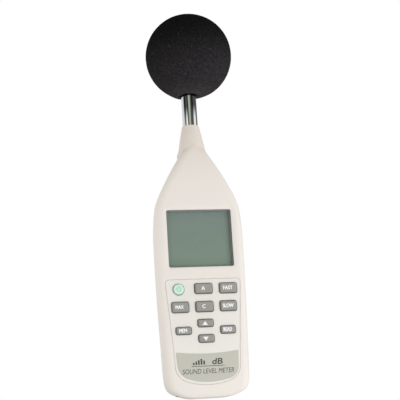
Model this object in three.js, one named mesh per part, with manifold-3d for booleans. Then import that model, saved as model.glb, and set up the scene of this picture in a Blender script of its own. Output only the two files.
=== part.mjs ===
// Hand-held sound level meter: two-part moulded case, keypad, LCD, chromed microphone stem,
// half-inch capsule, foam windscreen, battery compartment and side sockets.
// Millimetres. +Z runs up the microphone axis, the face looks along -Y, +X is to the right seen
// from the front. The origin is the middle of the bottom end, on the microphone axis.
import * as THREE from "three";
import { mergeVertices } from "three/addons/utils/BufferGeometryUtils.js";
import Module from "manifold-3d";

const wasm = await Module();
wasm.setup();

// ---------- driving dimensions ----------
// Names ending in _Y are depths, in _Z heights, in _R radii.
const FACE_Y = -12.0; // flat front of the case
const BACK_Y = 12.3; // flat back of the case
const PARTING_Y = 1.0; // where the two case halves meet
const PARTING_GAP = 0.3;
const FRONT_RIM_Y = PARTING_Y - PARTING_GAP / 2;
const REAR_RIM_Y = PARTING_Y + PARTING_GAP / 2;
const WALL = 2.2;
const NECK_TOP = 214.2; // top of the collar that holds the stem
const STEM_R = 6.1;
const STEM_TOP = 247.0;
const LENS_FRONT = -10.9;
const LCD_FRONT = -7.0;
const PCB_FRONT = -4.2;
const PCB_BACK = -2.6;
const CLEARANCE = 0.05; // between stacked parts
const FIT = 0.3; // around the display window and the LCD glass
const SCREWS = [[-27.2, 57.5], [27.2, 57.5], [-20.5, 160], [20.5, 160]]; // case screws, x and z
const TRIPOD = [0, 100]; // tripod insert, x and z
const LENS = { half: 27.3, z0: 97.2, z1: 145.4 }; // display window
const GLASS = { half: 27, z0: 96.5, z1: 145.9 }; // LCD glass

// Sockets and trimmer on the right-hand side, at one depth.
const SIDE_Y = 4.6;
const OUTPUT = [SIDE_Y, 132];
const DC = [SIDE_Y, 118];
const TRIMMER = [SIDE_Y, 106];

// Battery compartment and its sliding cover.
const TUB = { half: 22.1, z0: 8.4, z1: 59.4, floor: -0.9, wall: 1.4 };
const DOOR = { half: 22.6, rail: 1.0, railBack: 11.15, top: 61.9, inner: 10.35, bottom: -5 };
const DOOR_GAP = 0.3; // around the cover, across and in height
const DOOR_DEPTH_GAP = 0.2;
const TONGUE_HALF = 6; // tongue on the cover's top edge

// Case tables: height, then value. First the half width.
const HALF_WIDTH = [
  [0, 13.0], [0.5, 16.4], [1.4, 20.2], [2.8, 24.2], [4.6, 27.6], [7.0, 30.4],
  [13, 32.5], [20, 33.0], [38, 33.5], [62, 34.3], [88, 34.8], [114, 35.1], [128, 35.1],
  [138, 34.6], [145, 33.7], [151, 32.0], [157, 29.4], [163, 26.4], [172, 21.5],
  [180, 16.8], [187, 12.5], [194, 8.3], [200, 4.5],
];
// Depths of the front and back surfaces.
const FRONT_Y = [
  [0, -8.2], [0.5, -9.4], [1.4, -10.4], [2.8, -11.2], [4.6, -11.75], [7.0, FACE_Y],
  [168, FACE_Y], [180, -11.75], [190, -11.35], [195, -10.75], [200, -9.3],
];
const REAR_Y = [
  [0, 5.6], [0.5, 7.4], [1.4, 9.1], [2.8, 10.6], [4.6, 11.6], [7.0, 12.1],
  [10, BACK_Y], [172, BACK_Y], [187, 12.0], [200, 9],
];
// Corner sizes of the sections, across (X) and in depth (Y).
const REAR_EDGE_X = [[0, 5], [7, 6.2], [145, 6.2], [157, 8.6], [165, 10], [180, 11.5], [200, 12.2]];
const REAR_EDGE_Y = [[0, 5], [7, 7], [150, 7.2], [180, 9.5], [200, 11.9]];
const FRONT_EDGE_X = [
  [0, 5], [7, 6.2], [145, 6.2], [157, 6.6], [170, 7.0], [185, 7.2], [200, 8.5],
];
const FRONT_EDGE_Y = [
  [0, 5], [7, 7], [140, 7.0], [157, 5.2], [172, 4.4], [185, 4.6], [200, 8.0],
];
// How fast the sides close in towards the back, per millimetre of depth.
const DRAFT = [[0, 0.10], [114, 0.10], [145, 0.18], [160, 0.24], [200, 0.24]];
// Heights of the hollow's sections above its rounded foot.
const HOLLOW_Z = [13, 38, 114, 138, 151, 163, 177];

// The collar is a cone: radius, height.
const COLLAR = [
  [14.0, 178], [11.5, 190.5], [10.4, 195.5], [9.5, 200.6], [8.5, 206], [7.35, 211.4],
  [6.95, NECK_TOP - 0.4], [6.75, NECK_TOP], [0, NECK_TOP],
];
// Profile that cuts the collar flat in front: depth, height.
const COLLAR_CUT = [
  [-11.85, 177], [-11.35, 190], [-10.95, 199.5], [-10.4, 212], [-10.4, 220], [20, 220], [20, 177],
];
const LEDGE_R = 12.2; // ledge that ends the collar behind
const LEDGE_Z = 189.5;

// ---------- outlines ----------
// Interpolates a table of [height, value], holding the end values.
const valueAt = (table, z) => {
  const above = table.findIndex(([height]) => z <= height);
  if (above === 0) return table[0][1];
  if (above < 0) return table.at(-1)[1];
  const [z0, value0] = table[above - 1];
  const [z1, value1] = table[above];
  return value0 + ((value1 - value0) * (z - z0)) / (z1 - z0);
};
const about = (centre, half) => [centre - half, centre + half];

// Quarter of an ellipse, counter-clockwise from a start angle in degrees.
const quarter = (x, y, radiusX, radiusY, start, steps) =>
  Array.from({ length: steps + 1 }, (_, i) => {
    const angle = ((start + (90 * i) / steps) * Math.PI) / 180;
    return [x + radiusX * Math.cos(angle), y + radiusY * Math.sin(angle)];
  });

// Rounded rectangle in X and Z; lean narrows it towards the bottom.
const roundRect = ([centreX, centreZ], width, height, radius, steps, lean = 0) => {
  const x = width / 2 - radius;
  const z = height / 2 - radius;
  return [[x, z, 0], [-x, z, 90], [-x, -z, 180], [x, -z, 270]]
    .flatMap(([cx, cz, start]) => quarter(cx, cz, radius, radius, start, steps))
    .map(([px, pz]) => [centreX + px + Math.sign(px) * lean * (pz / height), centreZ + pz]);
};
const circle = (x, z, radius, segments) =>
  Array.from({ length: segments }, (_, i) => {
    const angle = (2 * Math.PI * i) / segments;
    return [x + radius * Math.cos(angle), z + radius * Math.sin(angle)];
  });

// Completes an outline from its right half, listed from the bottom up.
const mirrored = (half) => [
  ...half,
  ...half.filter(([x]) => x > 0).reverse().map(([x, z]) => [-x, z]),
];

// Moves a convex counter-clockwise outline inwards, or outwards by a negative distance.
const inset = (outline, distance) =>
  outline.map(([x, z], i) => {
    const [beforeX, beforeZ] = outline.at(i - 1);
    const [afterX, afterZ] = outline[(i + 1) % outline.length];
    const before = Math.hypot(x - beforeX, z - beforeZ);
    const after = Math.hypot(afterX - x, afterZ - z);
    const normalX = (beforeZ - z) / before + (z - afterZ) / after;
    const normalZ = (x - beforeX) / before + (afterX - x) / after;
    const length = Math.hypot(normalX, normalZ);
    const shift = distance / Math.max(0.5, length / 2); // the floor limits sharp corners
    return [x + (normalX / length) * shift, z + (normalZ / length) * shift];
  });

// ---------- solids ----------
function solid(geometry) {
  const bare = new THREE.BufferGeometry();
  bare.setAttribute("position", geometry.getAttribute("position").clone());
  if (geometry.index) bare.setIndex(geometry.index.clone());
  const merged = mergeVertices(bare, 1e-4);
  const index = merged.index.array;
  const triangles = [];
  for (let i = 0; i < index.length; i += 3) {
    const [a, b, c] = index.slice(i, i + 3);
    if (a !== b && b !== c && a !== c) triangles.push([a, b, c]);
  }
  const build = (faces) =>
    new wasm.Manifold(
      new wasm.Mesh({
        numProp: 3,
        vertProperties: new Float32Array(merged.attributes.position.array),
        triVerts: new Uint32Array(faces.flat()),
      }),
    );
  const result = build(triangles);
  // A negative volume means the faces look inwards.
  return result.volume() < 0 ? build(triangles.map(([a, b, c]) => [a, c, b])) : result;
}
const union = (solids) => solids.reduce((whole, part) => whole.add(part));

const box = ([x0, x1], [y0, y1], [z0, z1]) => {
  const geometry = new THREE.BoxGeometry(x1 - x0, y1 - y0, z1 - z0);
  geometry.translate((x0 + x1) / 2, (y0 + y1) / 2, (z0 + z1) / 2);
  return solid(geometry);
};
// Cylinders along each axis: radius, centre in the other two axes, range along the axis.
const cylinderX = (radius, [y, z], [x0, x1], segments) => {
  const geometry = new THREE.CylinderGeometry(radius, radius, x1 - x0, segments);
  geometry.rotateZ(Math.PI / 2);
  geometry.translate((x0 + x1) / 2, y, z);
  return solid(geometry);
};
const cylinderY = (radius, [x, z], [y0, y1], segments) => {
  const geometry = new THREE.CylinderGeometry(radius, radius, y1 - y0, segments);
  geometry.translate(x, (y0 + y1) / 2, z);
  return solid(geometry);
};
const cylinderZ = (radius, [x, y], [z0, z1], segments) => {
  const geometry = new THREE.CylinderGeometry(radius, radius, z1 - z0, segments);
  geometry.rotateX(Math.PI / 2);
  geometry.translate(x, y, (z0 + z1) / 2);
  return solid(geometry);
};
const vectors = (points) => points.map(([x, y]) => new THREE.Vector2(x, y));

// A flat plate from an outline in X and Z, with optional holes, between two depths.
const plate = (outline, [y0, y1], holes = []) => {
  const shape = new THREE.Shape(vectors(outline));
  shape.holes = holes.map((hole) => new THREE.Path(vectors(hole)));
  const options = { depth: y1 - y0, bevelEnabled: false, steps: 1 };
  const geometry = new THREE.ExtrudeGeometry(shape, options);
  geometry.rotateX(Math.PI / 2);
  geometry.translate(0, y1, 0);
  return solid(geometry);
};
// A body of revolution about the Z axis, from [radius, height] points.
const lathe = (profile, segments) => {
  const geometry = new THREE.LatheGeometry(vectors(profile), segments);
  geometry.rotateX(Math.PI / 2);
  return solid(geometry);
};
const tube = (inner, outer, [z0, z1], segments) =>
  lathe([[inner, z0], [outer, z0], [outer, z1], [inner, z1], [inner, z0]], segments);

// A round wire swept along a curve through the points.
const wire = (points, radius, sides, steps) => {
  const extrudePath = new THREE.CatmullRomCurve3(points.map((p) => new THREE.Vector3(...p)));
  const shape = new THREE.Shape(vectors(circle(0, 0, radius, sides)));
  return solid(new THREE.ExtrudeGeometry(shape, { extrudePath, steps, bevelEnabled: false }));
};
// A skin over loops of equal length, closed at both ends by a fan about the middle.
const loft = (loops) => {
  const count = loops[0].length;
  const positions = loops.flat(2);
  const faces = [];
  for (let ring = 0; ring < loops.length - 1; ring++)
    for (let i = 0; i < count; i++) {
      const a = ring * count + i;
      const b = ring * count + ((i + 1) % count);
      faces.push(a, b, b + count, a, b + count, a + count);
    }
  for (const ring of [0, loops.length - 1]) {
    const centre = positions.length / 3;
    for (const axis of [0, 1, 2])
      positions.push(loops[ring].reduce((sum, point) => sum + point[axis] / count, 0));
    for (let i = 0; i < count; i++) {
      const a = ring * count + i;
      const b = ring * count + ((i + 1) % count);
      faces.push(centre, ...(ring === 0 ? [b, a] : [a, b]));
    }
  }
  const geometry = new THREE.BufferGeometry();
  geometry.setAttribute("position", new THREE.Float32BufferAttribute(positions, 3));
  geometry.setIndex(faces);
  return solid(geometry);
};
// Layers of one outline at different depths, front to back.
const stack = (layers) => loft(layers.map(([outline, y]) => outline.map(([x, z]) => [x, y, z])));

// ---------- materials ----------
const finish = (options) => new THREE.MeshStandardMaterial(options);
const CASE = finish({ color: 0xe8e3da, roughness: 0.5 });
const FASCIA = finish({ color: 0xe9e5db, roughness: 0.5 });
const LABEL = finish({ color: 0xc8c4b6, roughness: 0.4 });
const KEY = finish({ color: 0x9a9790, roughness: 0.55 });
const GREEN = finish({ color: 0xa9ecca, roughness: 0.4 });
const CLEAR = finish({ color: 0xdde6e2, roughness: 0.05 });
const LCD = finish({ color: 0x7c8a7f, roughness: 0.2 });
const DARK = finish({ color: 0x303030, roughness: 0.7 });
const WHITE = finish({ color: 0xf0f0ee, roughness: 0.5 });
const BOARD = finish({ color: 0x2f6b3c, roughness: 0.5 });
const CHROME = finish({ color: 0xd8d8dc, roughness: 0.08, metalness: 1 });
const BRASS = finish({ color: 0xb8994d, roughness: 0.3, metalness: 1 });
const STEEL = finish({ color: 0xb9bbbd, roughness: 0.3, metalness: 1 });
const FOAM = finish({ color: 0x1d1d1e, roughness: 0.95 });
const CELL = finish({ color: 0x355a8c, roughness: 0.4 });
const SILICONE = finish({ color: 0x8b8a86, roughness: 0.7 });
const FOIL = finish({ color: 0xc9c9c4, roughness: 0.4 });

const meter = new THREE.Group();
const add = (name, material, shape) => {
  const { vertProperties, triVerts } = shape.getMesh();
  const geometry = new THREE.BufferGeometry();
  geometry.setAttribute("position", new THREE.BufferAttribute(new Float32Array(vertProperties), 3));
  geometry.setIndex(new THREE.BufferAttribute(new Uint32Array(triVerts), 1));
  geometry.computeVertexNormals();
  const mesh = new THREE.Mesh(geometry, material);
  mesh.name = name;
  meter.add(mesh);
};

// ---------- keypad outlines, shared by case, fascia and keys ----------
const FASCIA_TOP = 89.3;
const FASCIA_BACK = -10.75;
// Straight sides that close in towards the bottom, and a bowed lower edge.
const fasciaOutline = mirrored([
  [0, 9.7], [9.8, 10.6], [18.3, 13.1], [22.0, 16.0], [24.2, 19.6], [25.0, 24.0], [25.3, 34.0],
  [29.1, FASCIA_TOP - 2.6], [28.7, FASCIA_TOP - 0.9], [26.9, FASCIA_TOP],
]);
const KEY_RISE = 2.05; // how far a key stands above the face
const KEY_GAP = 0.35;
const KEYS = [
  { name: "key_power", x: -19.3, z: 81.8, radius: 4.3 },
  { name: "key_weighting_a", x: 0, z: 82.0, width: 13.8, height: 8.1 },
  { name: "key_fast", x: 19.2, z: 81.9, width: 13.8, height: 8.2 },
  { name: "key_max", x: -18.7, z: 68.2, width: 13.2, height: 8.3 },
  { name: "key_weighting_c", x: 0, z: 68.2, width: 13.8, height: 8.2 },
  { name: "key_slow", x: 18.5, z: 68.2, width: 13.0, height: 8.1 },
  { name: "key_up", x: 0, z: 55.7, width: 12.1, height: 6.0 },
  { name: "key_memory", x: -17.1, z: 50.4, width: 12.0, height: 5.9 },
  { name: "key_read", x: 17.1, z: 50.2, width: 11.8, height: 6.1 },
  { name: "key_down", x: 0, z: 44.1, width: 12.1, height: 6.1 },
];
const keyOutline = ({ x, z, width, height, radius }) =>
  radius ? circle(x, z, radius, 16) : roundRect([x, z], width, height, 1.7, 2, 0.5);
// A plain block around a key, larger than it by growX and growZ on each side.
const keyBlock = ({ x, z, width, height, radius }, growX, growZ, depths) =>
  radius
    ? cylinderY(radius + growZ, [x, z], depths, 12)
    : box(about(x, width / 2 + growX), depths, about(z, height / 2 + growZ));

// ---------- case halves ----------
// Rounded section of the case at one height, moved inwards by offset.
const section = (z, offset, steps) => {
  const corner = (table, trim = 0) => Math.max(1.2, valueAt(table, z) - offset - trim);
  const half = valueAt(HALF_WIDTH, z) - offset;
  const frontY = valueAt(FRONT_Y, z) + offset;
  const rearY = valueAt(REAR_Y, z) - offset;
  const frontEdge = Math.min(-frontY - 0.05, corner(FRONT_EDGE_Y));
  const rearEdge = Math.min(rearY - 0.05, corner(REAR_EDGE_Y, 0.5));
  const frontCentre = frontY + frontEdge;
  const rearCentre = rearY - rearEdge;
  const rearHalf = half - valueAt(DRAFT, z) * Math.max(0, rearCentre - frontCentre);
  const frontAcross = Math.min(corner(FRONT_EDGE_X), half - 0.05);
  const rearAcross = Math.min(corner(REAR_EDGE_X), rearHalf - 0.05);
  const frontX = half - frontAcross;
  const rearX = rearHalf - rearAcross;
  return [
    ...quarter(rearX, rearCentre, rearAcross, rearEdge, 0, steps),
    ...quarter(-rearX, rearCentre, rearAcross, rearEdge, 90, steps),
    ...quarter(-frontX, frontCentre, frontAcross, frontEdge, 180, steps),
    ...quarter(frontX, frontCentre, frontAcross, frontEdge, 270, steps),
  ].map(([x, y]) => [x, y, z]);
};
const body = loft(HALF_WIDTH.map(([z]) => section(z, 0, 4)));
const frontCollar = lathe([[0, COLLAR[0][1]], ...COLLAR], 28).intersect(
  loft([-40, 40].map((x) => COLLAR_CUT.map(([y, z]) => [x, y, z]))),
);
const rearCollar = lathe(
  [[0, LEDGE_Z], [LEDGE_R, LEDGE_Z], ...COLLAR.filter(([, z]) => z > 195)],
  28,
);
const hollow = loft([
  section(4.6, WALL + 1.6, 3).map(([x, y]) => [x, y, 2.4]),
  section(4.6, WALL, 3),
  ...HOLLOW_Z.map((z) => section(z, WALL, 3)),
]);
// One half of the case between two depths: hollow, bored for the stem and its seal.
const BEYOND = 400; // past the whole product
const shell = (outer, depths) =>
  outer
    .intersect(box([-BEYOND, BEYOND], depths, [-1, BEYOND]))
    .subtract(hollow)
    .subtract(cylinderZ(STEM_R + 0.2, [0, 0], [170, 220], 24))
    .subtract(cylinderZ(8.2, [0, 0], [185.7, 188.3], 16));

const frontCase = () => {
  const innerY = -9.9; // posts start just inside the wall
  const cutY = -9; // openings end behind the wall
  const lcdOpening = (grow) =>
    roundRect([0, 121.35], 2 * (25.5 + grow), 44.9 + 2 * grow, 1.5 + grow, 3);
  let front = shell(body.add(frontCollar), [-BEYOND, FRONT_RIM_Y]);
  for (const at of SCREWS)
    front = front.add(cylinderY(2.8, at, [innerY, FRONT_RIM_Y], 12).intersect(body));
  for (const at of SCREWS) front = front.subtract(cylinderY(1.25, at, [-7.2, 3], 8));
  // Two posts in front of the board.
  for (const x of [-23, 23])
    front = front.add(cylinderY(1.9, [x, 92.2], [innerY, PCB_FRONT - 0.1], 8));
  return front
    .subtract(
      stack([
        [lcdOpening(2.9), FACE_Y - 0.3],
        [lcdOpening(2.6), FACE_Y],
        [lcdOpening(0), FACE_Y + 0.6],
        [lcdOpening(0), cutY],
      ]),
    )
    .subtract(
      box(about(0, LENS.half + FIT), [LENS_FRONT - 0.1, cutY], [LENS.z0 - FIT, LENS.z1 + FIT]),
    )
    .subtract(
      stack([
        [inset(fasciaOutline, -0.9), FACE_Y - 0.3],
        [inset(fasciaOutline, -0.35), FACE_Y + 0.35],
        [inset(fasciaOutline, -0.35), FASCIA_BACK + 0.05],
      ]),
    )
    .subtract(union(KEYS.map((key) => keyBlock(key, 0.6, 0.4, [-11, cutY]))));
};
add("front_case", CASE, frontCase());

// Room for the battery cover, its rails and its tongue.
const doorSpace = () => {
  const inner = DOOR.inner - DOOR_DEPTH_GAP;
  const railDepths = [inner, DOOR.railBack + DOOR_DEPTH_GAP];
  const heights = [DOOR.bottom, DOOR.top + DOOR_GAP];
  return box(about(0, DOOR.half + DOOR_GAP), [inner, 20], heights)
    .add(box(about(0, DOOR.half + DOOR.rail + DOOR_GAP), railDepths, heights))
    .add(box(about(0, TONGUE_HALF + DOOR_GAP), railDepths, [DOOR.top, DOOR.top + 2.2]));
};
const rearCase = () => {
  let rear = shell(body.add(rearCollar), [REAR_RIM_Y, BEYOND]).add(
    box(
      about(0, TUB.half + TUB.wall),
      [TUB.floor - TUB.wall, 11],
      [TUB.z0 - 1.5, TUB.z1 + 1.5],
    ).intersect(body),
  );
  for (const at of SCREWS)
    rear = rear.add(cylinderY(3.2, at, [REAR_RIM_Y, 12.2], 12).intersect(body));
  // Screw holes and the wider bores for their heads.
  for (const at of SCREWS)
    rear = rear
      .subtract(cylinderY(1.35, at, [0, 13], 8))
      .subtract(cylinderY(2.65, at, [5.5, 14], 12));
  return rear
    .add(cylinderY(6.6, TRIPOD, [2.6, 12], 12))
    .subtract(cylinderY(4.7, TRIPOD, [4.0, 14], 20))
    .subtract(box(about(0, TUB.half), [TUB.floor, 12], [TUB.z0, TUB.z1]))
    .subtract(doorSpace())
    .subtract(plate(roundRect([0, 130], 42, 24, 2, 2), [12.0, 14])) // label recess
    .subtract(cylinderX(3.4, OUTPUT, [30, 40], 16))
    .subtract(cylinderX(3.9, DC, [30, 40], 16))
    .subtract(cylinderX(1.95, TRIMMER, [30, 40], 12));
};
add("rear_case", CASE, rearCase());

// ---------- face parts ----------
const labelRecess = mirrored([
  [0, 11.5], [9.4, 12.4], [17.3, 14.9], [20.8, 17.6], [22.9, 21.0], [23.5, 24.6], [24.0, 34.7],
  [16, 33.7], [8, 33.1], [0, 32.9],
]);
const labelOutline = mirrored([
  [0, 11.75], [9.3, 12.65], [17.15, 15.1], [20.6, 17.75], [22.65, 21.1], [23.25, 24.7],
  [23.73, 34.4], [16, 33.42], [8, 32.83], [0, 32.63],
]);
add(
  "keypad_fascia",
  FASCIA,
  stack([
    [inset(fasciaOutline, 0.4), FACE_Y],
    [fasciaOutline, FACE_Y + 0.4],
    [fasciaOutline, FASCIA_BACK],
  ])
    .subtract(union(KEYS.map((key) => plate(inset(keyOutline(key), -KEY_GAP), [-13, -10]))))
    .subtract(plate(labelRecess, [-13, FACE_Y + 0.25])),
);
add("name_label", LABEL, plate(labelOutline, [FACE_Y + 0.02, FACE_Y + 0.22]));

// Each key is a cap, a wider foot behind the face and a plunger towards the board.
for (const key of KEYS) {
  const outline = keyOutline(key);
  const cap = stack([
    [inset(outline, 1.15), FACE_Y - KEY_RISE],
    [inset(outline, 0.55), FACE_Y - KEY_RISE + 0.25],
    [outline, FACE_Y + 0.2],
    [outline, -9.2],
  ]);
  const foot = keyBlock(key, 1.1, 0.9, [-9.5, -8.7]);
  const plunger = cylinderY(2.1, [key.x, key.z], [-8.8, -5.35], 8);
  add(key.name, key.name === "key_power" ? GREEN : KEY, cap.add(foot).add(plunger));
}
// Silicone mat under the keys, with a hole for each plunger.
const matOutline = mirrored([
  [0, 38.5], [22.5, 38.5], [23.9, 41], [23.9, 61.2], [26.4, 61.2], [26.4, 88.8],
]);
const matHoles = KEYS.map(({ x, z }) => circle(x, z, 2.6, 8));
add("keypad_mat", SILICONE, plate(matOutline, [-7.3, -6.3], matHoles));

// ---------- display ----------
const LENS_BACK = LENS_FRONT + 1.3;
const LCD_BACK = LCD_FRONT + 1.4;
// Rectangular frame; outer and inner are [half width, bottom, top].
const frame = ([half, z0, z1], [innerHalf, innerZ0, innerZ1], [y0, y1]) =>
  box(about(0, half), [y0, y1], [z0, z1]).subtract(
    box(about(0, innerHalf), [y0 - 1, y1 + 1], [innerZ0, innerZ1]),
  );
add("lcd_window", CLEAR, box(about(0, LENS.half), [LENS_FRONT, LENS_BACK], [LENS.z0, LENS.z1]));
const gasketDepths = [LENS_BACK + CLEARANCE, LCD_FRONT - CLEARANCE];
add("lcd_gasket", DARK, frame([26.9, 97.5, 145.1], [24.6, 99.8, 142.9], gasketDepths));
add("lcd_glass", LCD, box(about(0, GLASS.half), [LCD_FRONT, LCD_BACK], [GLASS.z0, GLASS.z1]));
const frameInner = [GLASS.half + FIT, GLASS.z0 - FIT, GLASS.z1 + FIT];
add("lcd_frame", WHITE, frame([27.9, 94.8, 147.2], frameInner, [-8.5, PCB_FRONT - CLEARANCE]));
// Between the glass and the board.
const behindGlass = (name, material, backY, heights) =>
  add(name, material, box(about(0, 26), [LCD_BACK + CLEARANCE, backY], heights));
behindGlass("backlight_guide", WHITE, PCB_FRONT - 0.15, [99.9, 142.5]);
behindGlass("zebra_strip_upper", DARK, PCB_FRONT - CLEARANCE, [143.0, 145.2]);
behindGlass("zebra_strip_lower", DARK, PCB_FRONT - CLEARANCE, [97.2, 99.4]);

// ---------- electronics ----------
const pcbOutline = mirrored([
  [0, 9.5], [19, 9.5], [23.2, 15], [24.0, 22], [24.0, 61.3], [29.2, 61.3], [29.2, 138],
  [26.5, 146], [21, 152],
]);
add("main_pcb", BOARD, plate(pcbOutline, [PCB_FRONT, PCB_BACK]));
// A block on the back of the board.
const mounted = (xRange, backY, heights) => box(xRange, [PCB_BACK + CLEARANCE, backY], heights);
add("processor_chip", DARK, mounted([-17, -3], PCB_BACK + 1.7, [116, 130]));
add("amplifier_chip", DARK, mounted([-6, 4], PCB_BACK + 1.6, [139, 145]));
add(
  "output_jack",
  DARK,
  mounted([20, 29.6], 7.6, about(OUTPUT[1], 5))
    .add(cylinderX(3.0, OUTPUT, [29, 32.9], 16))
    .subtract(cylinderX(1.8, OUTPUT, [24, 36], 12)),
);
add(
  "dc_jack",
  DARK,
  mounted([20, 29.6], 8.2, about(DC[1], 5))
    .add(cylinderX(3.5, DC, [29, 33.1], 16))
    .subtract(cylinderX(2.75, DC, [26, 36], 12))
    .add(cylinderX(0.9, DC, [25.5, 32.4], 8)), // centre pin
);
add(
  "cal_trimmer_body",
  LABEL,
  mounted([23, 29.5], 7.4, about(TRIMMER[1], 3.7))
    .subtract(cylinderX(1.75, TRIMMER, [27.7, 31], 12)),
);
add(
  "cal_trimmer_screw",
  BRASS,
  cylinderX(1.5, TRIMMER, [28.0, 32.8], 12)
    .subtract(box([32.1, 34], about(SIDE_Y, 0.3), about(TRIMMER[1], 2))),
);
const cablePoints = [
  [0, 0.6, 165.2], [0.6, 2.4, 161.5], [0.4, 1.8, 156], [0, -0.4, 151.5], [0, -1.7, 147.8],
];
add("signal_cable", DARK, wire(cablePoints, 1.1, 6, 8));
add(
  "tripod_insert",
  BRASS,
  cylinderY(4.4, TRIPOD, [4.3, 12.2], 20).subtract(cylinderY(2.75, TRIPOD, [5.3, 14], 16)),
);
add("rating_label", FOIL, plate(roundRect([0, 130], 41.2, 23.2, 1.7, 2), [12.03, 12.25]));

// ---------- stem and microphone ----------
const MIC_R = 6.6;
const MIC_TOP = 265.0; // tip of the capsule grid
add("stem_tube", CHROME, tube(5.4, STEM_R, [170, STEM_TOP], 24));
add(
  "stem_nut",
  BRASS,
  cylinderZ(9.3, [0, 0], [172.2, 176.6], 6)
    .subtract(cylinderZ(STEM_R + 0.3, [0, 0], [170, 180], 24)),
);
add("stem_seal", DARK, tube(6.4, 7.9, [186, 188], 16));
add("preamp_pcb", BOARD, box(about(0, 4.3), about(0, 0.4), [166.5, 246]));
add("mic_body", CHROME, tube(5.6, MIC_R, [STEM_TOP + 0.1, 259.4], 24));
add("mic_insulator", WHITE, tube(1.1, 5.35, [250, 252], 16));
// A plate on a thin pin.
const backplate = [[0, 246.6], [0.8, 246.6], [0.8, 256.2], [4.6, 256.2], [4.6, 257.2], [0, 257.2]];
add("mic_backplate", BRASS, lathe(backplate, 16));
add("mic_diaphragm", STEEL, lathe([[0, 258.0], [5.4, 258.0], [5.4, 258.2], [0, 258.2]], 16));

const micGrid = () => {
  const inner = 5.7;
  const bottom = 259.6;
  const ceiling = MIC_TOP - 0.8;
  let grid = lathe(
    [
      [inner, bottom], [MIC_R, bottom], [MIC_R, MIC_TOP - 0.6], [MIC_R - 0.6, MIC_TOP],
      [0, MIC_TOP], [0, ceiling], [inner, ceiling], [inner, bottom],
    ],
    24,
  );
  // Five slots through the top, shorter away from the middle.
  for (let i = -2; i <= 2; i++) {
    const half = 4.9 - Math.abs(i) * 0.7;
    grid = grid.subtract(box(about(0, half), about(i * 1.9, 0.45), [MIC_TOP - 2, MIC_TOP + 1]));
  }
  return grid;
};
add("mic_grid", CHROME, micGrid());

// Foam ball with a flared bore from below.
const windscreen = () => {
  const radius = 35.0;
  const centreZ = 273.9;
  const boreR = 6.95;
  const boreTop = MIC_TOP + 1.2;
  const start = Math.asin(9.4 / radius); // the ball's surface begins at the bore's mouth
  const steps = 16;
  const profile = [[0, boreTop], [boreR, boreTop], [boreR, 241.4], [7.6, 240.4], [8.4, 239.95]];
  for (let i = 0; i <= steps; i++) {
    const angle = start + ((Math.PI - start) * i) / steps;
    profile.push([i === steps ? 0 : radius * Math.sin(angle), centreZ - radius * Math.cos(angle)]);
  }
  return lathe(profile, 28);
};
add("windscreen", FOAM, windscreen());

// ---------- batteries ----------
const CELL_R = 5.25; // AAA cells
const CELL_LEN = 43.5;
const CELL_PITCH = 10.9;
const CELL_Y = 4.75;
const cellX = (i) => (i - 1.5) * CELL_PITCH;
// Height at a distance in from the top or bottom end of the tub.
const fromEnd = (top, distance) => (top ? TUB.z1 - distance : TUB.z0 + distance);
const endRange = (top, near, far) =>
  [fromEnd(top, near), fromEnd(top, far)].sort((a, b) => a - b);

// Spring that tapers from the tub's end towards the cell.
const spring = (x, z0, z1) => {
  const turns = 3;
  const steps = turns * 7;
  const points = Array.from({ length: steps + 1 }, (_, i) => {
    const along = i / steps;
    const angle = along * turns * 2 * Math.PI;
    const radius = 3.6 - along;
    return [
      x + radius * Math.cos(angle),
      CELL_Y + radius * Math.sin(angle),
      z0 + (z1 - z0) * along,
    ];
  });
  return wire(points, 0.35, 4, steps);
};
for (let i = 0; i < 4; i++) {
  // The plus end has a nub; every second cell points down.
  const up = i % 2 === 0;
  const centre = [cellX(i), CELL_Y];
  const bottom = TUB.z0 + (up ? 5.2 : 2.3);
  const top = bottom + CELL_LEN;
  const nub = up ? [top - 0.1, top + 1.0] : [bottom - 1.0, bottom + 0.1];
  add(
    `battery_cell_${i + 1}`,
    CELL,
    cylinderZ(CELL_R, centre, [bottom, top], 16).add(cylinderZ(1.9, centre, nub, 8)),
  );
  add(`contact_spring_${i + 1}`, STEEL, spring(cellX(i), fromEnd(!up, 0.95), fromEnd(!up, 4.7)));
}
// Contact strip over a run of cells, with a bump at the plus end of one of them if given.
const contact = (name, first, last, top, plus) => {
  const across = [cellX(first) - 4.6, cellX(last) + 4.6];
  const strip = box(across, [0.8, 8.6], endRange(top, 0.1, 0.5));
  const bump = () => cylinderZ(2.2, [cellX(plus), CELL_Y], endRange(top, 0.4, 1.15), 8);
  add(name, STEEL, plus === undefined ? strip : strip.add(bump()));
};
contact("contact_upper_left", 0, 1, true, 0);
contact("contact_upper_right", 2, 3, true, 2);
contact("contact_lower_middle", 1, 2, false, 1);
contact("contact_lower_minus", 0, 0, false);
contact("contact_lower_plus", 3, 3, false, 3);

// ---------- battery cover: slides down its rails and off ----------
const batteryCover = () => {
  const railDepths = [DOOR.inner, DOOR.railBack];
  let cover = box(about(0, DOOR.half), [DOOR.inner, 20], [DOOR.bottom, DOOR.top])
    .add(box(about(0, DOOR.half + DOOR.rail), railDepths, [DOOR.bottom, DOOR.top - 1]))
    .intersect(body)
    .add(box(about(0, TONGUE_HALF), railDepths, [DOOR.top - 1, DOOR.top + 1.8]));
  // Five grooves across the back.
  for (let i = 0; i < 5; i++) {
    const z = 44.6 + i * 2.2;
    cover = cover.subtract(box(about(0, 8), [11.75, 14], [z, z + 1]));
  }
  return cover;
};
add("battery_cover", CASE, batteryCover());

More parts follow.
